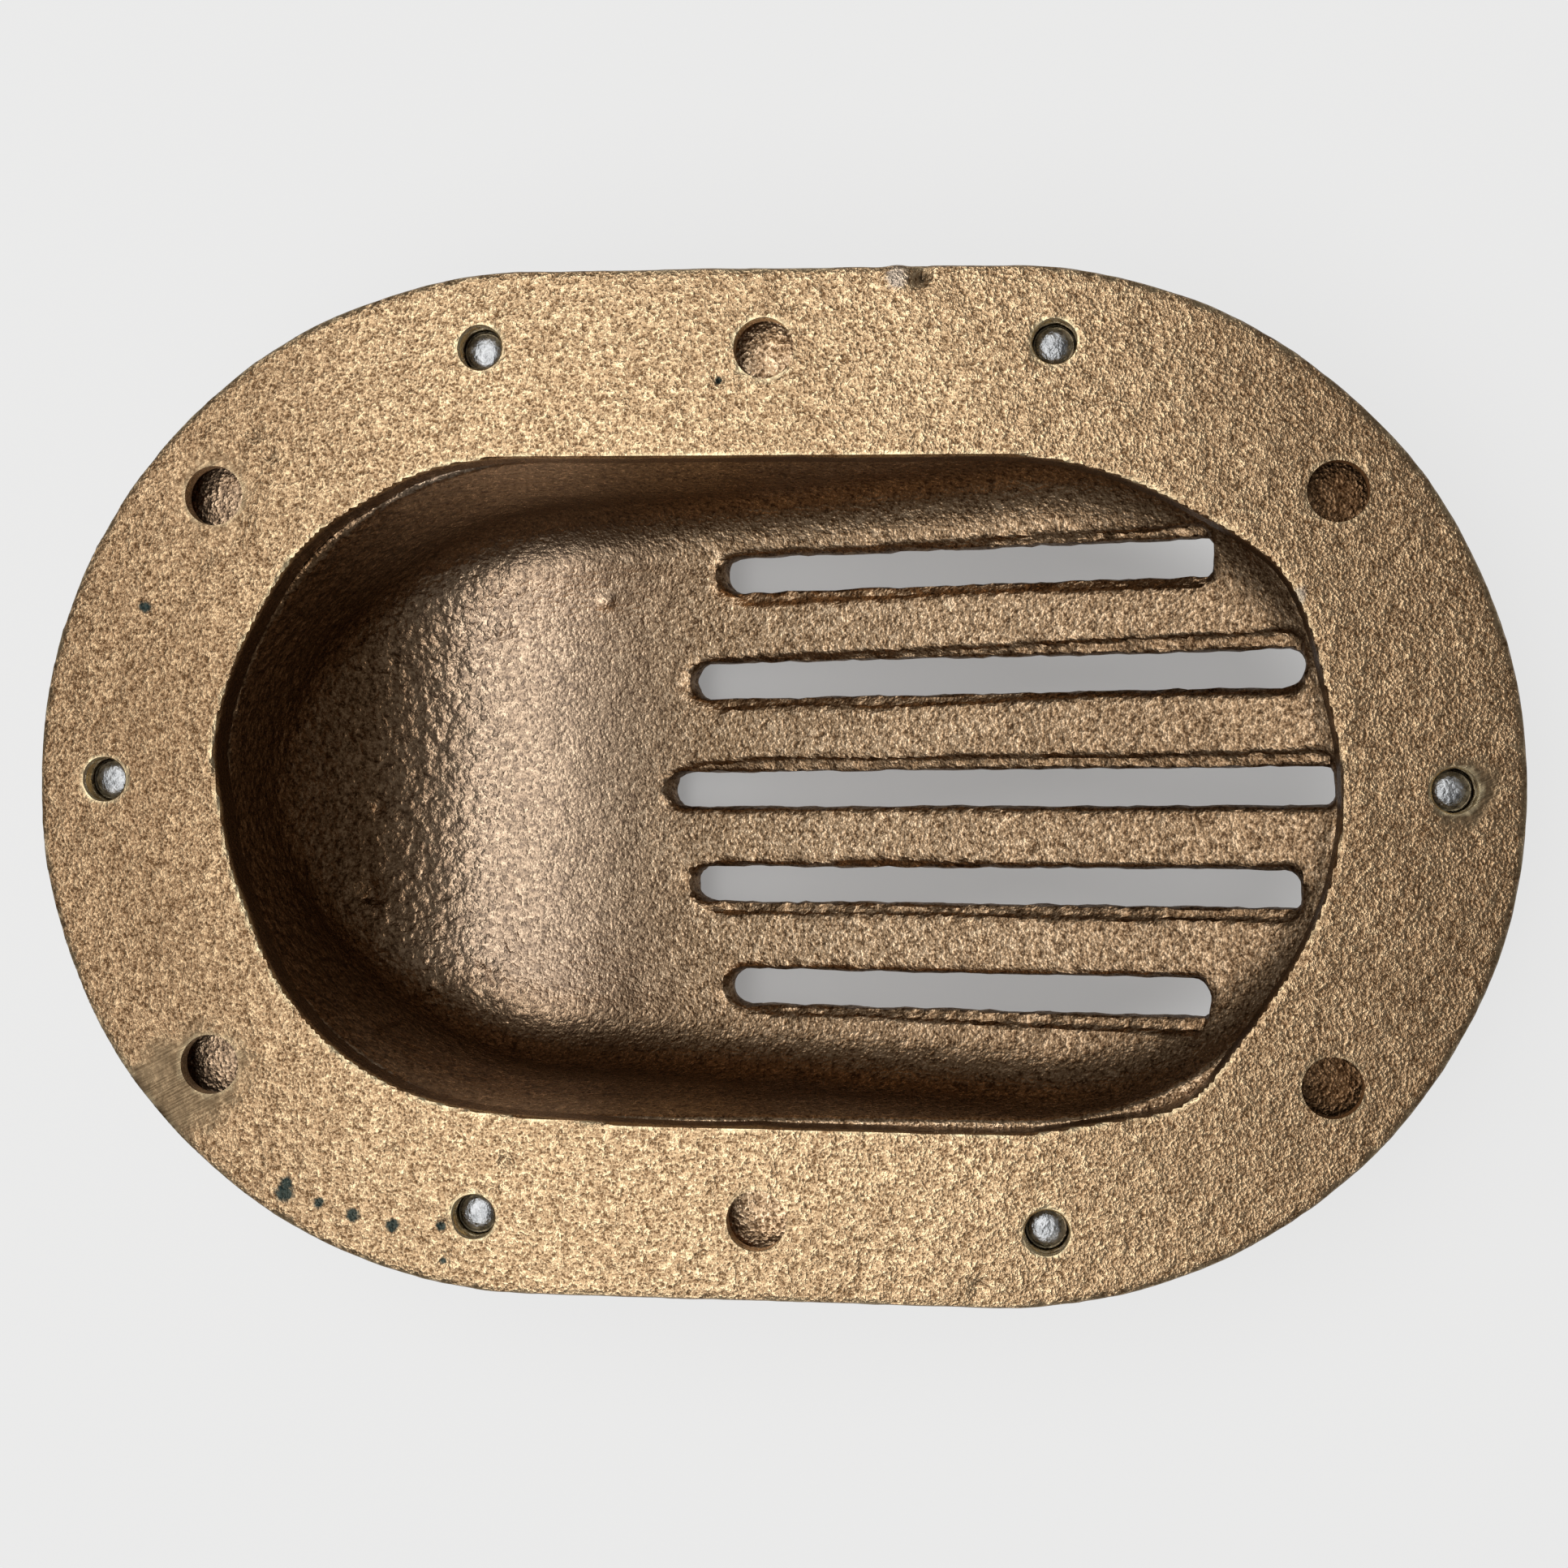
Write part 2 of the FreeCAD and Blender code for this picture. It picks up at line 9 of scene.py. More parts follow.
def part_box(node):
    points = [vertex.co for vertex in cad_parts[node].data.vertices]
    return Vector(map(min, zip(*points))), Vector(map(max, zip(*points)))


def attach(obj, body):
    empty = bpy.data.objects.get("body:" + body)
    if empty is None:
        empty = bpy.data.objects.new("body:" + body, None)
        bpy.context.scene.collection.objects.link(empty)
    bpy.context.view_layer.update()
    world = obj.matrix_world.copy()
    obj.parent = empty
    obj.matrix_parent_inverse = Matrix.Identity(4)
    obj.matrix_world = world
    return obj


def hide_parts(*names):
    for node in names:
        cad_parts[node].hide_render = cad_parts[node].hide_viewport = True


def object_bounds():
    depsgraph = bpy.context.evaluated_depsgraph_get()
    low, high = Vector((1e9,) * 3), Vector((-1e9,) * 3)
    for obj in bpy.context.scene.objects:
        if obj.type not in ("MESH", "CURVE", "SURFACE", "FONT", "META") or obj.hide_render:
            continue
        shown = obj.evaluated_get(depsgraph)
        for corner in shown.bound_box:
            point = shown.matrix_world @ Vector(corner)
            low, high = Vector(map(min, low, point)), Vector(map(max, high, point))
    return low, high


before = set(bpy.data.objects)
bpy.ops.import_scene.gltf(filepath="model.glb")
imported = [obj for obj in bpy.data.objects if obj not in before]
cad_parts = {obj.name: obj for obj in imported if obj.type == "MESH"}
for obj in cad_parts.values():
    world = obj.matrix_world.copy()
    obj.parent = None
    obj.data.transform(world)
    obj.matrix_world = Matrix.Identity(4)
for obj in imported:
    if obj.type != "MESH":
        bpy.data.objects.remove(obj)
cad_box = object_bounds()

# Lengths are in millimetres up to the mesh builders, which turn them into metres.
MM = 0.001


def box_mm(node):
    """A node's lowest and highest corners in millimetres."""
    low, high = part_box(node)
    return np.array(low) / MM, np.array(high) / MM


ring_low, ring_high = box_mm("mounting_ring")
scoop_low, scoop_high = box_mm("scoop")

# Sizes of the castings, the same as in the solids
RIM_WIDTH = 22.0
SCOOP_FLANGE_THICKNESS = 4.5
RIM_STEP = 0.4
RAMP_LEAD = 2.8
FLOOR_LENGTH = 25.0
AFT_CORNER_INSET = 12.4
FLANGE_RADIUS = (ring_high[1] - ring_low[1]) / 2
END_CENTRE = (ring_high[0] - ring_low[0]) / 2 - FLANGE_RADIUS
RIM_LEVEL = ring_low[2]
FLANGE_BACK = RIM_LEVEL - SCOOP_FLANGE_THICKNESS
DOME_BOTTOM = scoop_low[2]
OPENING_RADIUS = FLANGE_RADIUS - RIM_WIDTH
CAVITY_RADIUS = OPENING_RADIUS - RIM_STEP
WALL = 3.5
NOSE_REACH = 3.0
DRAFT = math.radians(7.0)
FLOOR = DOME_BOTTOM + WALL
RAMP_TOP = END_CENTRE + OPENING_RADIUS + RAMP_LEAD
AFT_CORNER = -(END_CENTRE + OPENING_RADIUS) + AFT_CORNER_INSET
RAMP_FOOT = AFT_CORNER + FLOOR_LENGTH
RAMP_ANGLE = math.atan((RIM_LEVEL - FLOOR) / (RAMP_TOP - RAMP_FOOT))
AFT_SLOPE = math.radians(55.0)
RAMP_BLEND = 60.0
AFT_BLEND = 28.0
SIDE_BLEND = 8.0

# The slots as cast: widths at the bottom and at the mouth, and the depth of the mouth's flare
SLOT_WIDTH = 4.6
SLOT_MOUTH_WIDTH = 5.4
SLOT_FLARE_DEPTH = 1.4
# Each slot as cast: its middle line, aft end and fore end, the widths at both ends of the shallow
# ledges along its left and right sides, and the radii of its left and right fore corners
SLOTS = [
    (27.2, -8.5, 53.6, (0.1, 1.4), (1.5, 1.0), 1.2, 1.2),
    (13.5, -12.7, 64.0, (0.6, 2.0), (1.2, 0.6), 1.9, 2.3),
    (-0.6, -15.9, 67.4, (1.3, 1.9), (0.0, 0.0), 1.2, 1.2),
    (-12.9, -12.7, 63.6, (0.4, 0.4), (1.5, 1.4), 2.3, 0.9),
    (-26.2, -7.8, 52.9, (0.3, 0.3), (0.8, 1.9), 2.3, 0.7),
]
LEDGE_DEPTH = 0.8
LEDGE_END_RADIUS = 1.8
SLOT_LIP_RADIUS = 0.45

# Holes and screws
SINK_SLOPE = math.tan(math.radians(41.0))
HULL_CORNER_ANGLE = 41.1
HULL_CORNER_INSET = 8.95
HULL_MIDDLE_INSET = 9.75
HULL_HOLE_RADIUS = 3.6
HULL_HOLE_CHAMFER = 0.25
HULL_SINK_RADIUS = 6.6
TAPPED_RADIUS = 2.6
TAPPED_MOUTH_RADIUS = 3.0
SCREW_HOLE_RADIUS = 3.3
SCREW_SEAT_RADIUS = 6.3
SHANK_RADIUS = 2.55
THREAD_PITCH = 0.9
THREAD_DEPTH = 0.4
TAP_DEPTH = -0.3
HEAD_EDGE = 0.3
RECESS_HALF_WIDTH = 0.65
RECESS_HALF_LENGTH = 2.5
RECESS_DEPTH = 1.8
RECESS_TAPER = 0.7
# The screw's domed tip: how far each step lies in from the shank and down from the end
TIP_STEPS = [(0.0, 0.9), (0.14, 0.55), (0.45, 0.27), (0.95, 0.09), (1.6, 0.0)]
# How far cutters reach past what they cut
CUTTER_REACH = 1.0

# The castings don't match exactly: the turn of the dome in the ring, the slots' own turn, how far
# the hollow lies off the outer form, and how much wider the hollow is at the rim
SCOOP_TURN = math.radians(0.75)
SLOT_TURN = math.radians(0.88)
HOLLOW_SHIFT = (0.4, -0.3)
MOUTH_GROWTH = 0.8
MOUTH_DEPTH = 14.0

# Rounded edges of the castings, and how far each edge lies inside its nominal place
RING_EDGE_INSET = 0.2
RING_EDGE_RADIUS = 0.5
OPENING_EDGE_RADIUS = 0.3
SCOOP_EDGE_INSET = 0.25
SCOOP_EDGE_RADIUS = 2.0
DOME_ROOT_RADIUS = 2.0
HOLLOW_EDGE_RADIUS = 0.7
# The ring's opening is ground this much wider than its nominal size, and off its middle
OPENING_GROWTH = 0.3
OPENING_SHIFT = (0.4, -0.9)
# Shares of the edge waves in the ring's outside and its opening, and the height of the roughness
# along the slots' edges
OUTSIDE_WAVES = 0.4
OPENING_WAVES = 0.6
SLOT_ROUGHNESS = 0.2
# Every vertex of a casting stays at least this far inside its solid's box
BOX_CLEARANCE = 0.001
# Cells of the grids that the castings' meshes are made on
RING_CELL = (0.6, 0.6, 0.5)
SCOOP_CELL = (1.2, 0.54, 0.68)

SCREW_NODES = sorted(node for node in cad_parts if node.startswith("machine_screw"))


def ring_angle(radius, degrees):
    angle = math.radians(degrees)
    return END_CENTRE + radius * math.cos(angle), radius * math.sin(angle)


def mirrored(x, y):
    return [(x, y), (-x, y), (-x, -y), (x, -y)]


HULL_PLACES = mirrored(*ring_angle(FLANGE_RADIUS - HULL_CORNER_INSET, HULL_CORNER_ANGLE))
HULL_PLACES += [(0.0, FLANGE_RADIUS - HULL_MIDDLE_INSET), (0.0, HULL_MIDDLE_INSET - FLANGE_RADIUS)]
# The middle hole on the left side has a bright rim
BRIGHT_HOLE = HULL_PLACES[4]
SCREW_PLACES = []
for node in SCREW_NODES:
    low, high = box_mm(node)
    SCREW_PLACES.append(((low[0] + high[0]) / 2, (low[1] + high[1]) / 2))


# Fields: distance to a form in millimetres, negative inside
def from_spine(x, y, aft, fore):
    return np.hypot(x - np.clip(x, aft, fore), y)


def common(a, b, radius, cosine=0.0):
    """Both solids at once, with their shared edge rounded. The cosine is between their normals."""
    cosine = np.minimum(cosine, 0.999)
    u = a + radius
    v = b + radius
    p = u - cosine * v
    q = v - cosine * u
    span = 1.0 - cosine ** 2
    arc = np.sqrt(np.maximum(u * u + v * v - 2 * cosine * u * v, 0.0) / span) - radius
    return np.where((p > 0) & (q > 0) & (np.maximum(u, v) > 0), arc, np.maximum(a, b))


def either(a, b, radius):
    """Two solids joined with a hollow fillet of about the radius."""
    h = np.clip(0.5 + 0.5 * (b - a) / radius, 0.0, 1.0)
    return b + (a - b) * h - radius * h * (1.0 - h)


def turned(x, y, angle):
    return x * math.cos(angle) + y * math.sin(angle), y * math.cos(angle) - x * math.sin(angle)


def lattice_noise(p, size, seed):
    """Smooth random values from -1 to 1 with features of about the size."""
    table = np.random.RandomState(seed).uniform(-1.0, 1.0, (32, 32, 32))
    q = p / size + 100.0
    cell = np.floor(q).astype(int)
    t = q - cell
    t = t * t * (3.0 - 2.0 * t)
    total = 0.0
    for corner in range(8):
        step = np.array([(corner >> k) & 1 for k in range(3)])
        i, j, k = ((cell + step) % 32).T
        weight = np.prod(np.where(step == 1, t, 1.0 - t), axis=1)
        total = total + weight * table[i, j, k]
    return total


def underside(x, z):
    """Depth below the aft slope, floor and ramp of the cavity, and the normal's x and z."""
    aft_run = AFT_BLEND * math.tan(AFT_SLOPE / 2)
    fore_run = RAMP_BLEND * math.tan(RAMP_ANGLE / 2)
    aft_start = AFT_CORNER + aft_run
    fore_start = RAMP_FOOT - fore_run
    height = z - FLOOR
    on_slope = -(x - AFT_CORNER) * math.sin(AFT_SLOPE) - height * math.cos(AFT_SLOPE)
    along_slope = -(x - AFT_CORNER) * math.cos(AFT_SLOPE) + height * math.sin(AFT_SLOPE)
    on_ramp = (x - RAMP_FOOT) * math.sin(RAMP_ANGLE) - height * math.cos(RAMP_ANGLE)
    along_ramp = (x - RAMP_FOOT) * math.cos(RAMP_ANGLE) + height * math.sin(RAMP_ANGLE)
    aft_x, aft_z = x - aft_start, height - AFT_BLEND
    fore_dx, fore_dz = x - fore_start, height - RAMP_BLEND
    aft_reach = np.hypot(aft_x, aft_z)
    fore_reach = np.hypot(fore_dx, fore_dz)
    cases = [
        (x < aft_start) & (along_slope > aft_run),
        x < aft_start,
        (x > fore_start) & (along_ramp > fore_run),
        x > fore_start,
    ]
    depth = np.select(
        cases, [on_slope, aft_reach - AFT_BLEND, on_ramp, fore_reach - RAMP_BLEND], -height
    )
    normal_x = np.select(
        cases,
        [-math.sin(AFT_SLOPE), aft_x / (aft_reach + 1e-9), math.sin(RAMP_ANGLE),
         fore_dx / (fore_reach + 1e-9)],
        0.0,
    )
    normal_z = -np.sqrt(np.maximum(1.0 - normal_x ** 2, 0.0))
    return depth, normal_x, normal_z


def cavity(x, y, z, growth=0.0):
    aft, fore = -END_CENTRE, END_CENTRE + NOSE_REACH
    radial = from_spine(x, y, aft, fore)
    wall_radius = CAVITY_RADIUS + (z - RIM_LEVEL) * math.tan(DRAFT)
    wall_radius = wall_radius + growth * np.clip(1.0 + (z - RIM_LEVEL) / MOUTH_DEPTH, 0.0, 1.0)
    wall = (radial - wall_radius) * math.cos(DRAFT)
    depth, normal_x, normal_z = underside(x, z)
    outward_x = (x - np.clip(x, aft, fore)) / (radial + 1e-9) * math.cos(DRAFT)
    cosine = outward_x * normal_x - math.sin(DRAFT) * normal_z
    return common(wall, depth, SIDE_BLEND, cosine)


def edge_waves(x, y, seed):
    """Unevenness along an edge, the same through its thickness."""
    p = np.stack([x, np.broadcast_to(y, x.shape), np.zeros_like(x)], axis=1)
    return 0.28 * lattice_noise(p, 11.0, seed) + 0.12 * lattice_noise(p, 4.0, seed + 1)


def slots(x, y, z):
    """The five through slots with their flared mouths, in the ramp's own direction."""
    along = (x - RAMP_TOP) * math.cos(RAMP_ANGLE) + (z - RIM_LEVEL) * math.sin(RAMP_ANGLE)
    above = (z - RIM_LEVEL) * math.cos(RAMP_ANGLE) - (x - RAMP_TOP) * math.sin(RAMP_ANGLE)
    flare = (SLOT_MOUTH_WIDTH - SLOT_WIDTH) / 2
    widen = np.clip((above + SLOT_FLARE_DEPTH) / SLOT_FLARE_DEPTH, 0.0, 1.0) * flare
    found = np.full(np.shape(x), 1e3)
    for middle, aft, fore, left_ledge, right_ledge, left_radius, right_radius in SLOTS:
        low = (aft - RAMP_TOP) / math.cos(RAMP_ANGLE)
        high = (fore - RAMP_TOP) / math.cos(RAMP_ANGLE)
        half = SLOT_WIDTH / 2
        round_end = np.hypot(along - np.maximum(along, low + half), y - middle) - half
        radius = np.where(y > middle, left_radius, right_radius)
        square_end = common(np.abs(y - middle) - half, along - high, radius)
        outline = np.maximum(round_end, square_end)
        found = np.minimum(found, outline - widen)
        stations = np.arange(aft - 5.0, fore + 5.0, 0.5)
        for side, widths in ((1, left_ledge), (-1, right_ledge)):
            beside = side * (y - middle)
            waves = edge_waves(stations, side * middle, 61)
            reach = half + np.interp(x, (aft, fore), widths) + np.interp(x, stations, waves)
            ends = np.maximum(low + half - along, along - high)
            ledge = common(beside - reach, ends, LEDGE_END_RADIUS)
            found = np.minimum(found, np.maximum(ledge, np.maximum(-beside, -above - LEDGE_DEPTH)))
    return found


def casting_waves(p):
    """Unevenness of a sand casting, larger waves first."""
    return (
        0.06 * lattice_noise(p, 9.0, 11)
        + 0.035 * lattice_noise(p, 3.4, 12)
        + 0.045 * lattice_noise(p, 1.3, 13)
    )


# Lumps and pits of each casting: x, y, radius and height, and how much longer they are than wide,
# with the angle of their length
LUMP_PLACE = (15.8, 60.0)
PIT_PLACE = (18.8, 60.0)
RING_MARKS = [
    (*LUMP_PLACE, 1.5, 0.45, 1.0, 0),
    (*PIT_PLACE, 0.7, -0.7, 1.6, 60),
    (-5.4, 48.0, 0.45, -0.45, 1.0, 0),
    (-62.3, 41.9, 0.5, -0.4, 2.2, -40),
    (-60.3, 39.5, 0.5, -0.4, 2.0, -60),
    (-30.4, -45.5, 0.45, -0.45, 2.0, -55),
    (-37.7, -53.1, 0.6, -0.45, 1.0, 0),
    (-44.5, -44.7, 0.6, -0.3, 1.3, 40),
    (-37.9, -57.7, 0.35, -0.35, 3.0, 80),
    (-68.3, 26.7, 1.1, -0.25, 1.4, 45),
    (26.3, -59.0, 1.0, -0.3, 1.0, 0),
    (-32.0, -49.0, 0.5, -0.25, 1.2, 0),
]
SCOOP_MARKS = [
    (-54.4, -3.0, 1.0, 0.4, 1.4, 70),
    (-55.4, -14.7, 1.3, 0.7, 1.3, 120),
    (-40.4, -24.4, 0.9, 0.4, 1.0, 0),
    (-48.4, -27.7, 0.6, -0.5, 2.2, 35),
    (-50.0, -30.8, 0.7, -0.3, 1.5, 20),
    (-39.0, 20.8, 0.6, -0.45, 2.2, 70),
    (-24.6, 23.9, 0.8, -0.5, 1.2, 0),
    (-7.0, -16.2, 0.9, -0.4, 1.5, 0),
    (35.7, 9.0, 0.5, -0.35, 1.5, 90),
]


def marks(p, places):
    total = np.zeros(len(p))
    for x, y, radius, height, stretch, degrees in places:
        angle = math.radians(degrees)
        dx, dy = p[:, 0] - x, p[:, 1] - y
        along = (dx * math.cos(angle) + dy * math.sin(angle)) / (radius * stretch)
        across = (dy * math.cos(angle) - dx * math.sin(angle)) / radius
        total = total + height * np.exp(-(along ** 2 + across ** 2) ** 1.5)
    return total


# Patches of the hull face that were ground smooth: x, y, half length, half width, angle, and how much
# darker they are. The darker colour is a painted dark reflection of the smooth metal.
GROUND_PATCHES = [
    (-71.5, -37.5, 9.5, 6.0, 30, 0.9),
    (-67.3, 34.9, 5.4, 4.8, 100, 0.3),
    (82.0, -0.5, 4.2, 3.0, 60, 0.8),
]


def ground(p):
    """1 where the casting was ground smooth and 0 elsewhere."""
    share = np.zeros(len(p))
    for x, y, length, width, degrees, _ in GROUND_PATCHES:
        angle = math.radians(degrees)
        dx, dy = p[:, 0] - x, p[:, 1] - y
        along = (dx * math.cos(angle) + dy * math.sin(angle)) / length
        across = (dy * math.cos(angle) - dx * math.sin(angle)) / width
        share = np.maximum(share, np.clip(3.0 - 2.5 * np.hypot(along, across), 0.0, 1.0))
    return share


def hollow_form(x, y, z):
    """The hollow as it lies in the turned dome."""
    return cavity(x - HOLLOW_SHIFT[0], y - HOLLOW_SHIFT[1], z, MOUTH_GROWTH)


def scoop_field(p):
    x, y, z = p.T
    turn_x, turn_y = turned(x, y, SCOOP_TURN)
    hollow = hollow_form(turn_x, turn_y, z)
    shell = np.maximum(cavity(turn_x, turn_y, z) - WALL, z - RIM_LEVEL)
    radial = from_spine(x, y, -END_CENTRE, END_CENTRE)
    plate = common(radial - FLANGE_RADIUS + SCOOP_EDGE_INSET, FLANGE_BACK - z, SCOOP_EDGE_RADIUS)
    plate = np.maximum(plate, z - RIM_LEVEL)
    solid = either(plate, shell, DOME_ROOT_RADIUS)
    solid = np.maximum(solid, z - RIM_LEVEL)
    solid = common(solid, -hollow, HOLLOW_EDGE_RADIUS)
    return common(solid, -slots(*turned(x, y, SLOT_TURN), z), SLOT_LIP_RADIUS)


# Places where the ring's opening was ground wider than round, or left tighter: x, y, reach, amount
OPENING_PLACES = [
    (-66.0, 10.0, 8.0, 0.5), (-57.0, 30.0, 10.0, 1.3), (-42.0, 38.0, 9.0, 0.8),
    (-67.0, -3.0, 5.0, -0.6), (-62.0, -14.0, 11.0, -1.3), (-30.0, -40.0, 12.0, -0.6),
    (51.0, -37.0, 8.0, 2.4), (61.0, 25.0, 10.0, 2.1),
]
# The cast face lies this low to leave room for its lumps under the nominal face, and the ring's
# back clears the scoop's flange
FACE_LEVEL = -0.25
RING_BACK_GAP = 0.02


def opening(x, y):
    """Distance from the opening's edge, positive in the opening."""
    radius = np.full(np.shape(x), OPENING_RADIUS + OPENING_GROWTH)
    for place_x, place_y, reach, amount in OPENING_PLACES:
        radius += amount * np.exp(-((x - place_x) ** 2 + (y - place_y) ** 2) / reach ** 2)
    shift_x, shift_y = OPENING_SHIFT
    reach = from_spine(x - shift_x, y - shift_y, -END_CENTRE, END_CENTRE)
    return radius - reach + OPENING_WAVES * edge_waves(x, y, 31)


def ring_field(p):
    x, y, z = p.T
    outside = from_spine(x, y, -END_CENTRE, END_CENTRE) - FLANGE_RADIUS + RING_EDGE_INSET
    outside = outside + OUTSIDE_WAVES * edge_waves(x, y, 21)
    back = RIM_LEVEL + RING_BACK_GAP - z
    plate = common(np.maximum(back, outside), z - FACE_LEVEL, RING_EDGE_RADIUS)
    return common(plate, opening(x, y), OPENING_EDGE_RADIUS)


# Meshes from fields
SHARP_ANGLE = math.radians(38.0)


def surface(field, low, high, step):
    """Vertices and quads on a field's zero level, from a grid of the given step."""
    axes = [np.arange(low[k] - step[k], high[k] + 2 * step[k], step[k]) for k in range(3)]
    counts = [len(axis) for axis in axes]
    values = np.empty(counts, dtype=np.float32)
    plane = np.stack(np.meshgrid(axes[1], axes[2], indexing="ij"), axis=-1).reshape(-1, 2)
    for i, x in enumerate(axes[0]):
        points = np.column_stack([np.full(len(plane), x), plane])
        values[i] = field(points).reshape(counts[1:])
    # One vertex for each cell that the surface passes through, at the mean of its crossings
    cells = [n - 1 for n in counts]
    sums = np.zeros(cells + [3])
    hits = np.zeros(cells)
    faces = []
    crossings = []
    for axis in range(3):
        first = [slice(None)] * 3
        second = [slice(None)] * 3
        first[axis] = slice(0, -1)
        second[axis] = slice(1, None)
        a, b = values[tuple(first)], values[tuple(second)]
        where = np.argwhere((a < 0) != (b < 0))
        index = tuple(where.T)
        t = a[index] / (a[index] - b[index])
        points = np.stack([axes[k][where[:, k]] for k in range(3)], axis=1)
        points[:, axis] += t * step[axis]
        others = [k for k in range(3) if k != axis]
        corners = []
        for du, dv in ((-1, -1), (0, -1), (0, 0), (-1, 0)):
            cell = where.copy()
            cell[:, others[0]] += du
            cell[:, others[1]] += dv
            corners.append(cell)
            np.add.at(sums, tuple(cell.T), points)
            np.add.at(hits, tuple(cell.T), 1)
        crossings.append((corners, a[index] < 0, axis))
    used = hits > 0
    number = np.full(cells, -1, dtype=int)
    number[used] = np.arange(used.sum())
    vertices = sums[used] / hits[used][:, None]
    for corners, outward, axis in crossings:
        quad = np.stack([number[tuple(cell.T)] for cell in corners], axis=1)
        flip = outward if axis == 1 else ~outward
        quad[flip] = quad[flip][:, ::-1]
        faces.append(quad)
    return vertices, np.concatenate(faces).tolist()


def gradient(field, p, h=0.02):
    base = field(p)
    slopes = [(field(p + h * np.eye(3)[k]) - base) / h for k in range(3)]
    return base, np.stack(slopes, axis=1)


def settle(field, vertices, rounds=3):
    """Move the vertices onto the field's zero level."""
    for _ in range(rounds):
        value, slope = gradient(field, vertices)
        size = np.maximum((slope ** 2).sum(axis=1), 0.2)
        move = slope * (value / size)[:, None]
        length = np.linalg.norm(move, axis=1)
        vertices = vertices - move * np.minimum(1.0, 0.3 / np.maximum(length, 1e-9))[:, None]
    return vertices


def displace(field, vertices, height):
    """Push the vertices along the surface's normals."""
    _, slope = gradient(field, vertices)
    normal = slope / np.maximum(np.linalg.norm(slope, axis=1), 1e-6)[:, None]
    return vertices + normal * height[:, None]


def mesh_object(name, vertices, faces):
    mesh = bpy.data.meshes.new(name)
    mesh.from_pydata((vertices * MM).tolist(), [], faces)
    mesh.validate()
    mesh.shade_smooth()
    piece = bpy.data.objects.new(name, mesh)
    bpy.context.scene.collection.objects.link(piece)
    return piece


def lathe(profile, x, y, segments=72, thread=None):
    """A closed turned solid about a vertical axis, from radius and height pairs, lowest first.
    A thread is its low end, high end, pitch and depth, cut in where the solid is straight."""
    if thread is not None:
        low, high, pitch, depth = thread
        steps = int(round((high - low) / pitch * 8))
        pairs = np.array(profile)
        levels = np.linspace(low, high, steps + 1)
        radii = np.interp(levels, pairs[:, 1], pairs[:, 0])
        plain = [pair for pair in profile if not low <= pair[1] <= high]
        profile = sorted(plain + list(zip(radii, levels)), key=lambda pair: pair[1])
    angles = np.linspace(0, 2 * np.pi, segments, endpoint=False)
    rings = []
    for r, z in profile:
        radius = np.full(segments, float(r))
        if thread is not None and low <= z <= high:
            phase = (z / pitch - angles / (2 * np.pi)) % 1.0
            fade = min(1.0, (z - low) / pitch * 2, (high - z) / pitch * 2)
            radius -= depth * fade * np.abs(2 * phase - 1.0)
        rings.append(np.column_stack([
            x + radius * np.cos(angles), y + radius * np.sin(angles), np.full(segments, z),
        ]))
    vertices = np.concatenate(rings)
    faces = []
    for level in range(len(profile) - 1):
        for i in range(segments):
            j = (i + 1) % segments
            a, b = level * segments, (level + 1) * segments
            faces.append([a + i, a + j, b + j, b + i])
    faces.append(list(range(segments))[::-1])
    last = (len(profile) - 1) * segments
    faces.append([last + i for i in range(segments)])
    return vertices, faces


def prism(outline, low, high, taper):
    """A closed prism whose outline shrinks by the taper factor at its high end."""
    outline = np.array(outline, dtype=float)
    centre = outline.mean(axis=0)
    count = len(outline)
    bottom = np.column_stack([outline, np.full(count, low)])
    top = np.column_stack([centre + (outline - centre) * taper, np.full(count, high)])
    faces = [[i, (i + 1) % count, count + (i + 1) % count, count + i] for i in range(count)]
    faces.append(list(range(count))[::-1])
    faces.append([count + i for i in range(count)])
    return np.concatenate([bottom, top]), faces


def cut(piece, cutters):
    """Take cutters out of a piece."""
    vertices, faces, start = [], [], 0
    for points, polygons in cutters:
        vertices.append(points)
        faces += [[start + i for i in polygon] for polygon in polygons]
        start += len(points)
    mesh = bpy.data.meshes.new("cutters")
    mesh.from_pydata((np.concatenate(vertices) * MM).tolist(), [], faces)
    tool = bpy.data.objects.new("cutters", mesh)
    bpy.context.scene.collection.objects.link(tool)
    modifier = piece.modifiers.new("holes", "BOOLEAN")
    modifier.operation = "DIFFERENCE"
    modifier.solver = "MANIFOLD"
    modifier.object = tool
    depsgraph = bpy.context.evaluated_depsgraph_get()
    result = bpy.data.meshes.new_from_object(piece.evaluated_get(depsgraph))
    piece.modifiers.clear()
    old = piece.data
    piece.data = result
    result.name = piece.name
    bpy.data.meshes.remove(old)
    bpy.data.objects.remove(tool)
    bpy.data.meshes.remove(mesh)
    result.shade_smooth()
    result.set_sharp_from_angle(angle=SHARP_ANGLE)


def set_share(piece, name, field):
    """Store a share from 0 to 1 at each vertex, worked out from its place."""
    places = np.empty(len(piece.data.vertices) * 3)
    piece.data.vertices.foreach_get("co", places)
    share = np.clip(field(places.reshape(-1, 3) / MM), 0.0, 1.0)
    attribute = piece.data.attributes.new(name, "FLOAT", "POINT")
    attribute.data.foreach_set("value", share.astype(np.float32))


# Castings
# How bright the bare metal is on the ring's outline, the least on the tapped mouths, and on the
# rims of all large holes but the bright one
OUTLINE_WEAR = 0.5
MOUTH_WEAR = 0.35
DULL_RIM = 0.3


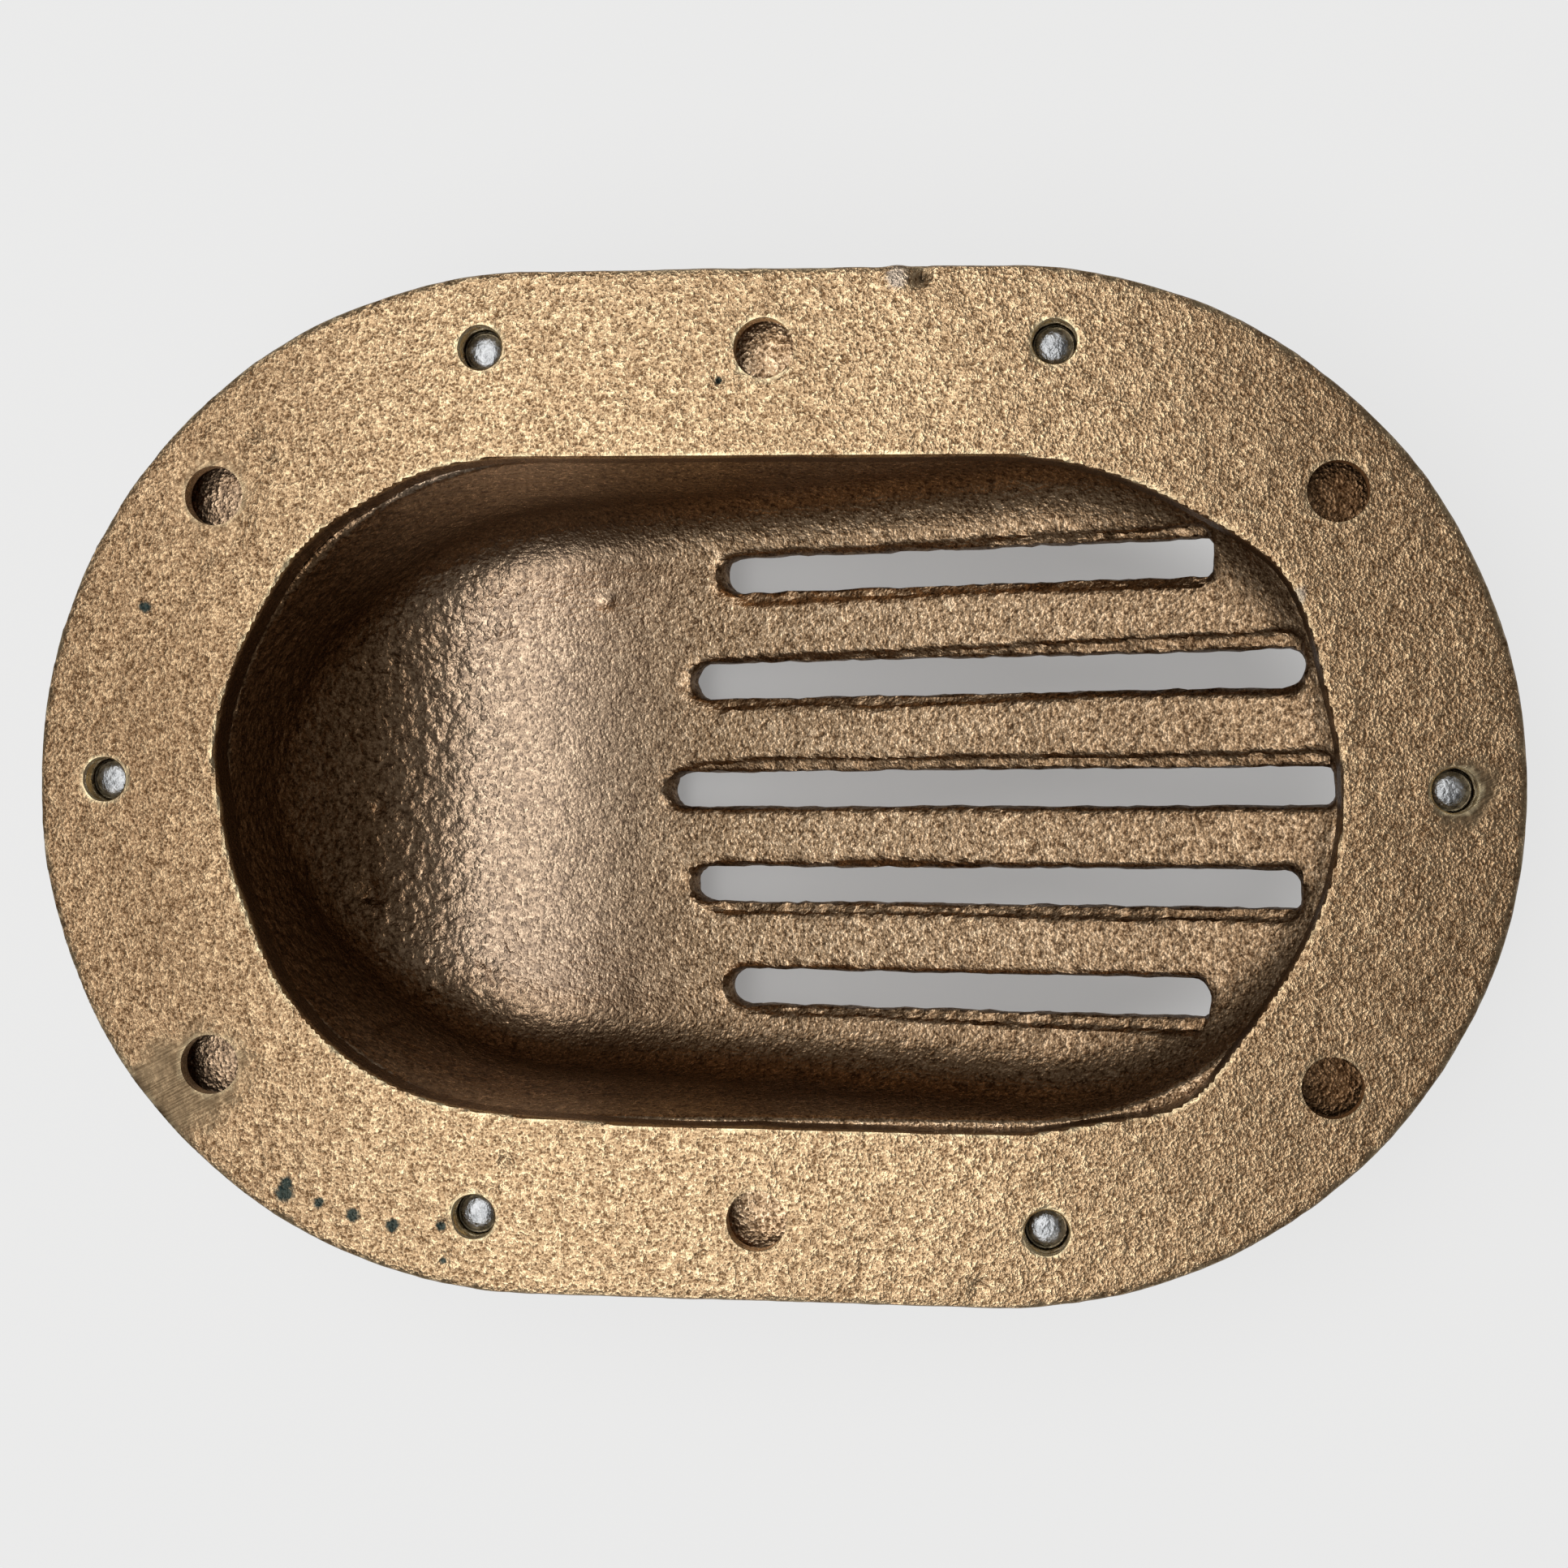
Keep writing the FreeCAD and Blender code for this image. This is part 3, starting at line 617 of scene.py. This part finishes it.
def ring_wear(p):
    """Bright bare metal: the opening's filed edge, the outline, the drilled rims and the tapped
    mouths."""
    x, y, z = p.T
    near_face = np.clip(2.6 + z / 0.35, 0.0, 1.0)
    edge = np.clip(1.7 - np.abs(opening(x, y) + 0.05) / 0.28, 0.0, 1.0)
    patchy = np.clip(0.5 + 0.9 * lattice_noise(p, 1.7, 41), 0.0, 1.0)
    share = edge * near_face * patchy * np.clip(1.6 - x / 50.0, 0.25, 1.0)
    outline = np.abs(from_spine(x, y, -END_CENTRE, END_CENTRE) - FLANGE_RADIUS + 0.3)
    share = np.maximum(share, OUTLINE_WEAR * np.clip(1.5 - outline / 0.3, 0.0, 1.0) * near_face * patchy)
    for place_x, place_y in HULL_PLACES:
        reach = np.hypot(x - place_x, y - place_y)
        rim = np.clip(2.0 - np.abs(reach - HULL_HOLE_RADIUS - 0.1) / 0.15, 0.0, 1.0)
        strength = 1.0 if (place_x, place_y) == BRIGHT_HOLE else DULL_RIM
        share = np.maximum(share, strength * rim * near_face * np.sqrt(patchy))
    for place_x, place_y in SCREW_PLACES:
        reach = np.hypot(x - place_x, y - place_y)
        mouth = np.clip((TAPPED_MOUTH_RADIUS + 0.05 - reach) / 0.1, 0.0, 1.0)
        share = np.maximum(share, mouth * (MOUTH_WEAR + (1.0 - MOUTH_WEAR) * patchy))
    return share


def opening_wall_shade_share(p):
    """1 on the wall of the ring's opening below its filed edge, and 0 elsewhere: where painted shade
    darkens the wall.
    """
    x, y, z = p.T
    return np.clip(2.0 - np.abs(opening(x, y)) / 0.4, 0.0, 1.0) * np.clip(-0.8 - z, 0.0, 1.0)


def make_ring():
    vertices, faces = surface(ring_field, ring_low, ring_high, RING_CELL)
    vertices = settle(ring_field, vertices)
    free = np.clip((vertices[:, 2] - RIM_LEVEL) / 1.5, 0.0, 1.0)
    height = casting_waves(vertices) * (1.0 - 0.85 * ground(vertices)) + marks(vertices, RING_MARKS)
    vertices = displace(ring_field, vertices, height * free)
    vertices = np.clip(vertices, ring_low + BOX_CLEARANCE, ring_high - BOX_CLEARANCE)
    piece = mesh_object("ring_casting", vertices, faces)
    cutters = []
    for x, y in HULL_PLACES:
        shoulder = RIM_LEVEL + (HULL_SINK_RADIUS - HULL_HOLE_RADIUS) / SINK_SLOPE
        cutters.append(lathe([
            (HULL_SINK_RADIUS + CUTTER_REACH * SINK_SLOPE, RIM_LEVEL - CUTTER_REACH),
            (HULL_HOLE_RADIUS, shoulder),
            (HULL_HOLE_RADIUS, -HULL_HOLE_CHAMFER),
            (HULL_HOLE_RADIUS + HULL_HOLE_CHAMFER, 0.0),
            (HULL_HOLE_RADIUS + HULL_HOLE_CHAMFER, CUTTER_REACH),
        ], x, y, 96))
    for x, y in SCREW_PLACES:
        mouth_depth = TAPPED_MOUTH_RADIUS - TAPPED_RADIUS
        cutters.append(lathe([
            (TAPPED_RADIUS, RIM_LEVEL - CUTTER_REACH),
            (TAPPED_RADIUS, -mouth_depth),
            (TAPPED_MOUTH_RADIUS, 0.0),
            (TAPPED_MOUTH_RADIUS, CUTTER_REACH),
        ], x, y, thread=(RIM_LEVEL - 0.5, -mouth_depth - 0.1, THREAD_PITCH, TAP_DEPTH)))
    cut(piece, cutters)
    set_share(piece, "worn", ring_wear)
    set_share(piece, "wall", opening_wall_shade_share)
    return piece


def skin_share(p):
    """1 on the hollow's own surface and 0 elsewhere on the scoop."""
    x, y, z = p.T
    hollow = hollow_form(*turned(x, y, SCOOP_TURN), z)
    return np.clip(2.0 - np.abs(hollow), 0.0, 1.0)


def peel_share(p):
    """1 at the hollow's aft end, where its skin is coarser."""
    return skin_share(p) * np.clip((-30.0 - p[:, 0]) / 18.0, 0.0, 1.0)


def patina_and_shade_share(p):
    """Up to 1 along the hollow's walls, at its steep aft end and on the flange's face at the fore end,
    less on the face at the aft end and beside the slots, and 0 on the rest. This darkening is patina
    along the walls, and painted shade at the steep aft end, beside the slots, on the flange's face under
    the ring and more on the right wall than the left."""
    x, y, z = p.T
    turn_x, turn_y = turned(x, y, SCOOP_TURN)
    radial = from_spine(turn_x, turn_y, -END_CENTRE, END_CENTRE + NOSE_REACH)
    wall_radius = CAVITY_RADIUS + (z - RIM_LEVEL) * math.tan(DRAFT)
    near_wall = np.clip(1.0 - (wall_radius - radial) / 9.0, 0.0, 1.0)
    # Painted shade: the left wall is darkened less than the right one
    near_wall = near_wall * np.clip(1.0 - turn_y / 60.0, 0.4, 1.0)
    deep = np.clip((RIM_LEVEL - z) / 9.0, 0.0, 1.0)
    aft = np.clip((-42.0 - turn_x) / 14.0, 0.0, 1.0)
    # The flange's face under the ring, towards its ends: painted shade
    face = (z > RIM_LEVEL - 0.8) & (radial > CAVITY_RADIUS + 3.0)
    ends = np.maximum(np.clip((x - 5.0) / 50.0, 0.0, 1.0), np.clip((-20.0 - x) / 120.0, 0.0, 1.0))
    # Beside the slots: painted shade on their lips
    beside_slot = 0.5 * np.clip(1.0 - np.abs(slots(*turned(x, y, SLOT_TURN), z)) / 0.8, 0.0, 1.0)
    hollow_share = np.maximum(skin_share(p) * np.maximum(near_wall * deep, aft), beside_slot)
    return np.maximum(hollow_share, face * ends)


def make_scoop():
    vertices, faces = surface(scoop_field, scoop_low, scoop_high, SCOOP_CELL)
    vertices = settle(scoop_field, vertices)
    rim_face = vertices[:, 2] > RIM_LEVEL - 0.5
    x, y, z = vertices.T
    near_slot = np.clip(1.0 - np.abs(slots(*turned(x, y, SLOT_TURN), z)) / 1.6, 0.0, 1.0)
    height = casting_waves(vertices) + marks(vertices, SCOOP_MARKS) * skin_share(vertices)
    height = height + SLOT_ROUGHNESS * near_slot * lattice_noise(vertices, 1.5, 51)
    vertices = displace(scoop_field, vertices, np.where(rim_face, 0.0, height))
    vertices = np.clip(vertices, scoop_low + BOX_CLEARANCE, scoop_high - BOX_CLEARANCE)
    piece = mesh_object("scoop_casting", vertices, faces)
    cutters = []
    for x, y in SCREW_PLACES:
        shoulder = FLANGE_BACK + (SCREW_SEAT_RADIUS - SCREW_HOLE_RADIUS) / SINK_SLOPE
        cutters.append(lathe([
            (SCREW_SEAT_RADIUS + CUTTER_REACH * SINK_SLOPE, FLANGE_BACK - CUTTER_REACH),
            (SCREW_HOLE_RADIUS, shoulder),
            (SCREW_HOLE_RADIUS, RIM_LEVEL + CUTTER_REACH),
        ], x, y))
    cut(piece, cutters)
    set_share(piece, "patina_and_shade", patina_and_shade_share)
    set_share(piece, "peel", peel_share)
    return piece


def make_screw(node, x, y):
    """A countersunk machine screw with a cross recess, a rolled thread and a domed tip."""
    low, high = box_mm(node)
    head = (high[0] - low[0]) / 2
    cone_top = low[2] + HEAD_EDGE + (head - SHANK_RADIUS) / SINK_SLOPE
    thread = (cone_top + 0.2, high[2] - 0.95, THREAD_PITCH, THREAD_DEPTH)
    profile = [
        (head - 0.15, low[2]),
        (head, low[2] + 0.1),
        (head, low[2] + HEAD_EDGE),
        (SHANK_RADIUS, cone_top),
    ]
    profile += [(SHANK_RADIUS - inset, high[2] - down) for inset, down in TIP_STEPS]
    vertices, faces = lathe(profile, x, y, 96, thread)
    screw = mesh_object(f"{node}_turned", vertices, faces)
    arm, end = RECESS_HALF_WIDTH, RECESS_HALF_LENGTH
    cross = [
        (end, -arm), (end, arm), (arm, arm), (arm, end), (-arm, end), (-arm, arm),
        (-end, arm), (-end, -arm), (-arm, -arm), (-arm, -end), (arm, -end), (arm, -arm),
    ]
    turn = random.Random(node).uniform(0.0, math.pi / 2)
    outline = [
        (x + u * math.cos(turn) - v * math.sin(turn), y + u * math.sin(turn) + v * math.cos(turn))
        for u, v in cross
    ]
    cut(screw, [prism(outline, low[2] - 0.5, low[2] + RECESS_DEPTH, RECESS_TAPER)])
    # Painted shade on the thread and the foot of the tip
    set_share(screw, "painted_thread_shade", lambda p: (np.hypot(p[:, 0] - x, p[:, 1] - y) > SHANK_RADIUS - 0.6)
              & (p[:, 2] > cone_top) & (p[:, 2] < high[2] - 0.7))
    return screw


# Materials
# Sizes of the bronzes' grain and depths of its relief
RING_GRAIN = 0.37
RING_RELIEF = 0.21
SCOOP_GRAIN = 0.49
SCOOP_RELIEF = 0.22


class Nodes:
    """A small helper for building node trees."""

    def __init__(self, name):
        self.material = bpy.data.materials.new(name)
        self.material.use_nodes = True
        self.tree = self.material.node_tree
        self.shader = self.tree.nodes["Principled BSDF"]
        coordinates = self.tree.nodes.new("ShaderNodeTexCoord")
        scale = self.tree.nodes.new("ShaderNodeVectorMath")
        scale.operation = "SCALE"
        self.tree.links.new(coordinates.outputs["Object"], scale.inputs[0])
        scale.inputs["Scale"].default_value = 1.0 / MM
        self.place = scale.outputs["Vector"]

    def link(self, source, target):
        self.tree.links.new(source, target)

    def noise(self, size, detail=2.0, roughness=0.5, place=None):
        node = self.tree.nodes.new("ShaderNodeTexNoise")
        node.inputs["Scale"].default_value = 1.0 / size
        node.inputs["Detail"].default_value = detail
        node.inputs["Roughness"].default_value = roughness
        self.link(place or self.place, node.inputs["Vector"])
        return node.outputs["Fac"]

    def share(self, name):
        node = self.tree.nodes.new("ShaderNodeAttribute")
        node.attribute_name = name
        return node.outputs["Fac"]

    def math(self, operation, a, b=None, c=None):
        node = self.tree.nodes.new("ShaderNodeMath")
        node.operation = operation
        for slot, value in enumerate((a, b, c)):
            if value is None:
                continue
            if isinstance(value, (int, float)):
                node.inputs[slot].default_value = value
            else:
                self.link(value, node.inputs[slot])
        return node.outputs[0]

    def ramp(self, value, low, high, to_low=0.0, to_high=1.0):
        node = self.tree.nodes.new("ShaderNodeMapRange")
        node.interpolation_type = "SMOOTHSTEP"
        node.inputs["From Min"].default_value = low
        node.inputs["From Max"].default_value = high
        node.inputs["To Min"].default_value = to_low
        node.inputs["To Max"].default_value = to_high
        self.link(value, node.inputs["Value"])
        return node.outputs["Result"]

    def mix(self, factor, a, b, blend="MIX"):
        node = self.tree.nodes.new("ShaderNodeMix")
        node.data_type = "RGBA"
        node.blend_type = blend
        for name, value in (("A", a), ("B", b)):
            socket = [s for s in node.inputs if s.name == name and s.type == "RGBA"][0]
            if isinstance(value, tuple):
                socket.default_value = (*value, 1.0)
            else:
                self.link(value, socket)
        self.link(factor, node.inputs[0])
        return [s for s in node.outputs if s.type == "RGBA"][0]

    def placed(self, x, y, degrees, length, width):
        """Coordinates about a place on the face, 1 at the given half length and half width."""
        node = self.tree.nodes.new("ShaderNodeMapping")
        node.vector_type = "TEXTURE"
        node.inputs["Location"].default_value = (x, y, 0.0)
        node.inputs["Rotation"].default_value = (0.0, 0.0, math.radians(degrees))
        node.inputs["Scale"].default_value = (length, width, 1e4)
        self.link(self.place, node.inputs["Vector"])
        return node.outputs["Vector"]

    def patch(self, x, y, degrees, length, width, wobble=None, soft=0.35):
        """1 inside an oval on the face and 0 outside, with an uneven edge."""
        node = self.tree.nodes.new("ShaderNodeVectorMath")
        node.operation = "LENGTH"
        self.link(self.placed(x, y, degrees, length, width), node.inputs[0])
        reach = node.outputs["Value"]
        if wobble is not None:
            reach = self.math("ADD", reach, wobble)
        return self.ramp(reach, 1.0 + soft, 1.0 - soft)

    def most(self, values):
        total = values[0]
        for value in values[1:]:
            total = self.math("MAXIMUM", total, value)
        return total

    def bump(self, height, distance, strength=1.0, below=None):
        node = self.tree.nodes.new("ShaderNodeBump")
        node.inputs["Distance"].default_value = distance * MM
        node.inputs["Strength"].default_value = strength
        self.link(height, node.inputs["Height"])
        if below is not None:
            self.link(below, node.inputs["Normal"])
        return node.outputs["Normal"]


def cast_bronze(name, light, middle, dark, grain, roughness):
    """Sand-cast bronze: a fine hard grain, coloured partly in the bronze's own tone and partly as
    painted light: painted highlight on its bright tops, painted shade in its dark hollows and painted
    glints as bright flecks.
    """
    n = Nodes(name)
    clusters = n.math("MULTIPLY", n.noise(grain * 2.2, 1.0), 0.34)
    n.height = n.math("MULTIPLY_ADD", n.noise(grain, 1.5, 0.6), 0.66, clusters)
    n.broad = n.noise(grain * 6, 2.0, 0.5)
    tone = n.noise(31.0, 2.0, 0.5)
    # Colour from the grain's height: painted shade in the hollows, painted highlight on the tops
    colour = n.mix(n.ramp(n.height, 0.36, 0.50), dark, middle)
    colour = n.mix(n.ramp(n.height, 0.50, 0.64), colour, light)
    # Bright flecks: painted glints
    painted_glint_flecks = n.ramp(n.noise(grain * 0.55, 1.0), 0.57, 0.69, 0.0, 0.75)
    colour = n.mix(painted_glint_flecks, colour, light)
    n.colour = n.mix(n.ramp(tone, 0.42, 0.70, 0.0, 0.18), colour, dark)
    n.rough = n.ramp(n.height, 0.36, 0.64, roughness + 0.07, roughness - 0.06)
    n.shader.inputs["Metallic"].default_value = 1.0
    return n


def finish_bronze(n, relief, smooth=None, brushed=None, lumps=None):
    """Join a bronze's colour, roughness and relief to its shader, flatter where it is smooth."""
    height = n.height
    if smooth is not None:
        kept = n.math("SUBTRACT", 1.0, smooth)
        height = n.math("MULTIPLY", height, n.math("MAXIMUM", kept, 0.12))
    normal = n.bump(n.broad, 0.2, 0.6)
    if lumps is not None:
        normal = n.bump(lumps, 0.55, 0.9, below=normal)
    normal = n.bump(height, relief, 1.0, below=normal)
    if brushed is not None:
        normal = n.bump(brushed, 0.05, 0.8, below=normal)
    n.link(n.colour, n.shader.inputs["Base Color"])
    n.link(n.rough, n.shader.inputs["Roughness"])
    n.link(normal, n.shader.inputs["Normal"])
    return n.material


# Blackish green spots on the ring's face: x, y and radius
DARK_SPOTS = [
    (-57.6, -49.9, 1.15), (-57.4, -48.8, 0.8), (-53.3, -51.0, 0.65), (-49.1, -52.4, 0.85),
    (-44.2, -53.5, 0.8), (-38.2, -53.4, 0.6), (-75.6, 21.0, 0.7), (-5.4, 48.0, 0.45),
    (-37.9, -57.6, 0.45),
]
# A grey scuff on the ring's face: x and y
SCUFF_PLACE = (62.4, 22.0)


def ring_material():
    n = cast_bronze(
        "ring_bronze", light=(0.95, 0.70, 0.42), middle=(0.56, 0.372, 0.208),
        dark=(0.22, 0.122, 0.056), grain=RING_GRAIN, roughness=0.32,
    )
    wobble = n.math("MULTIPLY_ADD", n.noise(2.2, 3.0, 0.6), 0.9, -0.45)
    jagged = n.math("MULTIPLY_ADD", n.noise(0.6, 2.0, 0.6), 1.2, -0.6)
    # Darker and browner towards both ends: painted shade where the light falls off towards the fore end,
    # and darker towards the aft end
    axes = n.tree.nodes.new("ShaderNodeSeparateXYZ")
    n.link(n.place, axes.inputs[0])
    fore = n.ramp(axes.outputs["X"], 15.0, 80.0, 0.0, 0.5)
    aft = n.ramp(axes.outputs["X"], -30.0, -80.0, 0.0, 0.62)
    n.colour = n.mix(n.math("MAXIMUM", fore, aft), n.colour, (0.42, 0.36, 0.33), "MULTIPLY")
    # Ground patches, with brush lines, painted darker: a painted dark reflection of their smooth metal
    patches, shades = [], []
    for x, y, length, width, turn, shade in GROUND_PATCHES:
        patches.append(n.patch(x, y, turn, length, width, wobble))
        shades.append(n.math("MULTIPLY", patches[-1], shade))
    smooth = n.most(patches)
    lines = n.noise(1.0, 2.0, 0.5, n.placed(0.0, 0.0, 28.0, 5.0, 0.22))
    brushed = n.math("MULTIPLY", lines, smooth)
    ground_and_dark_reflection = n.mix(n.ramp(lines, 0.35, 0.7), (0.13, 0.088, 0.048), (0.27, 0.19, 0.11))
    n.colour = n.mix(n.most(shades), n.colour, ground_and_dark_reflection)
    # Spots, a pale lump with a dark pit beside it, and a grey scuff
    spots = n.most([n.patch(x, y, 0.0, r, r, jagged) for x, y, r in DARK_SPOTS])
    n.colour = n.mix(n.math("MULTIPLY", spots, 0.94), n.colour, (0.014, 0.034, 0.034))
    lump = n.patch(*LUMP_PLACE, 0.0, 1.2, 1.4, jagged)
    n.colour = n.mix(n.math("MULTIPLY", lump, 0.6), n.colour, (0.50, 0.45, 0.40))
    pit = n.patch(*PIT_PLACE, 60.0, 0.7, 0.45, jagged)
    n.colour = n.mix(n.math("MULTIPLY", pit, 0.8), n.colour, (0.06, 0.038, 0.022))
    scuff = n.patch(*SCUFF_PLACE, 60.0, 1.6, 0.8, wobble)
    n.colour = n.mix(n.math("MULTIPLY", scuff, 0.7), n.colour, (0.28, 0.25, 0.22))
    # Painted shade on the opening's wall, under the ring's face
    wall = n.math("MULTIPLY", n.share("wall"), 0.85)
    n.colour = n.mix(wall, n.colour, (0.34, 0.26, 0.19), "MULTIPLY")
    worn = n.share("worn")
    n.colour = n.mix(worn, n.colour, (0.86, 0.70, 0.43))
    flat = n.math("MAXIMUM", smooth, n.math("MULTIPLY", worn, 0.8))
    return finish_bronze(n, RING_RELIEF, flat, brushed)


def scoop_material():
    n = cast_bronze(
        "scoop_bronze", light=(0.90, 0.66, 0.43), middle=(0.49, 0.325, 0.188),
        dark=(0.17, 0.096, 0.047), grain=SCOOP_GRAIN, roughness=0.32,
    )
    # A paler, rosier colour at the aft end, away from its darkened walls: a painted sheen
    axes = n.tree.nodes.new("ShaderNodeSeparateXYZ")
    n.link(n.place, axes.inputs[0])
    painted_sheen = n.ramp(axes.outputs["X"], -8.0, -34.0, 0.0, 0.5)
    painted_sheen = n.math("MULTIPLY", painted_sheen, n.math("SUBTRACT", 1.0, n.share("patina_and_shade")))
    n.colour = n.mix(painted_sheen, n.colour, (0.46, 0.36, 0.285))
    # Darker towards the fore end: painted shade where the light falls off
    fore_painted_shade = n.ramp(axes.outputs["X"], 5.0, 60.0, 0.0, 0.6)
    n.colour = n.mix(fore_painted_shade, n.colour, (0.42, 0.38, 0.34), "MULTIPLY")
    # Patina along the hollow's walls, and painted shade at its steep aft end, beside the slots, on the
    # flange's face under the ring and on the right wall
    patina_and_shade = n.math("MULTIPLY", n.share("patina_and_shade"), 0.85)
    n.colour = n.mix(patina_and_shade, n.colour, (0.36, 0.28, 0.21), "MULTIPLY")
    lumps = n.math("MULTIPLY", n.noise(1.5, 1.2), n.share("peel"))
    return finish_bronze(n, SCOOP_RELIEF, lumps=lumps)


def stainless(name):
    """Stainless steel with darker smears, and dark with painted shade on the thread and the foot of the
    tip, where the share says so.
    """
    n = Nodes(name)
    n.shader.inputs["Metallic"].default_value = 1.0
    smear = n.noise(1.2, 3.0, 0.6)
    colour = n.mix(n.ramp(smear, 0.35, 0.7), (0.30, 0.305, 0.31), (0.62, 0.625, 0.63))
    colour = n.mix(n.share("painted_thread_shade"), colour, (0.07, 0.066, 0.06))
    n.link(colour, n.shader.inputs["Base Color"])
    n.link(n.ramp(smear, 0.3, 0.7, 0.22, 0.36), n.shader.inputs["Roughness"])
    n.link(n.bump(n.noise(0.5, 3.0), 0.12, 0.8), n.shader.inputs["Normal"])
    return n.material


ring_bronze = ring_material()
scoop_bronze = scoop_material()
steel = stainless("screw_steel")

ring = make_ring()
ring.data.materials.clear()
ring.data.materials.append(ring_bronze)
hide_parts("mounting_ring")
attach(ring, "root")

scoop = make_scoop()
scoop.data.materials.clear()
scoop.data.materials.append(scoop_bronze)
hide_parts("scoop")
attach(scoop, "root")

for node, (screw_x, screw_y) in zip(SCREW_NODES, SCREW_PLACES):
    screw = make_screw(node, screw_x, screw_y)
    screw.data.materials.clear()
    screw.data.materials.append(steel)
    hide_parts(node)
    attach(screw, "root")


# Floor, light and camera, with lengths in metres
FLOOR_HALF_SIZE = 3.0
FLOOR_GAP = 0.0002
FLOOR_PALENESS = 0.72
# Paleness under the part and the half sizes of that patch: a painted shadow
SHADOW_PALENESS = 0.25
SHADOW_HALF_LENGTH = 0.085
SHADOW_HALF_WIDTH = 0.05


def make_floor():
    """A pale paper floor. Seen by the camera, part of it is its own paleness and the rest its shading,
    and the paleness fades under the part, which paints a shadow there."""
    size = FLOOR_HALF_SIZE
    level = cad_box[0][2] - FLOOR_GAP
    mesh = bpy.data.meshes.new("floor")
    corners = [(-size, -size, level), (size, -size, level), (size, size, level), (-size, size, level)]
    mesh.from_pydata(corners, [], [(0, 1, 2, 3)])
    floor = bpy.data.objects.new("floor", mesh)
    bpy.context.scene.collection.objects.link(floor)
    material = bpy.data.materials.new("floor_paper")
    material.use_nodes = True
    nodes, links = material.node_tree.nodes, material.node_tree.links
    shader = nodes["Principled BSDF"]
    shader.inputs["Base Color"].default_value = (0.86, 0.86, 0.86, 1.0)
    shader.inputs["Roughness"].default_value = 0.9
    shader.inputs["Specular IOR Level"].default_value = 0.1
    pale = nodes.new("ShaderNodeEmission")
    pale.inputs["Color"].default_value = (0.99, 0.99, 0.987, 1.0)
    path = nodes.new("ShaderNodeLightPath")
    share = nodes.new("ShaderNodeMath")
    share.operation = "MULTIPLY"
    coordinates = nodes.new("ShaderNodeTexCoord")
    stretch = nodes.new("ShaderNodeVectorMath")
    stretch.operation = "DIVIDE"
    stretch.inputs[1].default_value = (SHADOW_HALF_LENGTH, SHADOW_HALF_WIDTH, 1.0)
    reach = nodes.new("ShaderNodeVectorMath")
    reach.operation = "LENGTH"
    painted_shadow = nodes.new("ShaderNodeMapRange")
    painted_shadow.interpolation_type = "SMOOTHSTEP"
    for socket, value in (("From Min", 0.75), ("From Max", 1.1),
                          ("To Min", SHADOW_PALENESS), ("To Max", FLOOR_PALENESS)):
        painted_shadow.inputs[socket].default_value = value
    links.new(coordinates.outputs["Object"], stretch.inputs[0])
    links.new(stretch.outputs["Vector"], reach.inputs[0])
    links.new(reach.outputs["Value"], painted_shadow.inputs["Value"])
    links.new(painted_shadow.outputs["Result"], share.inputs[1])
    mix = nodes.new("ShaderNodeMixShader")
    links.new(path.outputs["Is Camera Ray"], share.inputs[0])
    links.new(share.outputs[0], mix.inputs["Fac"])
    links.new(shader.outputs[0], mix.inputs[1])
    links.new(pale.outputs[0], mix.inputs[2])
    # Clear from below, so that the underside of the part can be looked at
    side = nodes.new("ShaderNodeNewGeometry")
    clear = nodes.new("ShaderNodeBsdfTransparent")
    sided = nodes.new("ShaderNodeMixShader")
    links.new(side.outputs["Backfacing"], sided.inputs["Fac"])
    links.new(mix.outputs[0], sided.inputs[1])
    links.new(clear.outputs[0], sided.inputs[2])
    links.new(sided.outputs[0], nodes["Material Output"].inputs["Surface"])
    mesh.materials.append(material)


def area_lamp(name, place, size, power):
    """A soft lamp that leans along X only, towards the middle of the part."""
    lamp = bpy.data.lights.new(name, "AREA")
    lamp.shape = "RECTANGLE"
    lamp.size, lamp.size_y = size
    lamp.energy = power
    holder = bpy.data.objects.new(name, lamp)
    holder.location = place
    holder.rotation_euler = (0.0, math.atan2(place[0], place[2]), 0.0)
    bpy.context.scene.collection.objects.link(holder)


def make_world():
    world = bpy.data.worlds.new("studio")
    bpy.context.scene.world = world
    world.use_nodes = True
    nodes, links = world.node_tree.nodes, world.node_tree.links
    light = nodes["Background"]
    light.inputs["Color"].default_value = (1.0, 1.0, 1.0, 1.0)
    light.inputs["Strength"].default_value = 0.15
    seen = nodes.new("ShaderNodeBackground")
    seen.inputs["Color"].default_value = (0.84, 0.84, 0.84, 1.0)
    seen.inputs["Strength"].default_value = 1.0
    path = nodes.new("ShaderNodeLightPath")
    mix = nodes.new("ShaderNodeMixShader")
    links.new(path.outputs["Is Camera Ray"], mix.inputs["Fac"])
    links.new(light.outputs["Background"], mix.inputs[1])
    links.new(seen.outputs["Background"], mix.inputs[2])
    links.new(mix.outputs["Shader"], nodes["World Output"].inputs["Surface"])


# Camera place and turn, worked out from the hole pattern's perspective
CAMERA_PLACE = Vector((35.4, 1.0, 296.7)) * MM
CAMERA_TURN = (-0.17, 6.25, 0.49)
CAMERA_LENS = 57.9


def make_camera():
    data = bpy.data.cameras.new("camera")
    data.lens = CAMERA_LENS
    data.sensor_width = 36.0
    data.clip_start = 0.01
    camera = bpy.data.objects.new("camera", data)
    turns = [Matrix.Rotation(math.radians(a), 4, axis) for a, axis in zip(CAMERA_TURN, "XYZ")]
    camera.matrix_world = Matrix.Translation(CAMERA_PLACE) @ turns[0] @ turns[1] @ turns[2]
    bpy.context.scene.collection.objects.link(camera)
    bpy.context.scene.camera = camera


make_floor()
area_lamp("key", (-0.17, -0.05, 0.95), size=(0.38, 1.24), power=3.4)
area_lamp("fill", (-0.68, -0.05, 0.95), size=(0.64, 1.24), power=1.15)
make_world()
make_camera()
bpy.context.scene.view_settings.view_transform = "Standard"
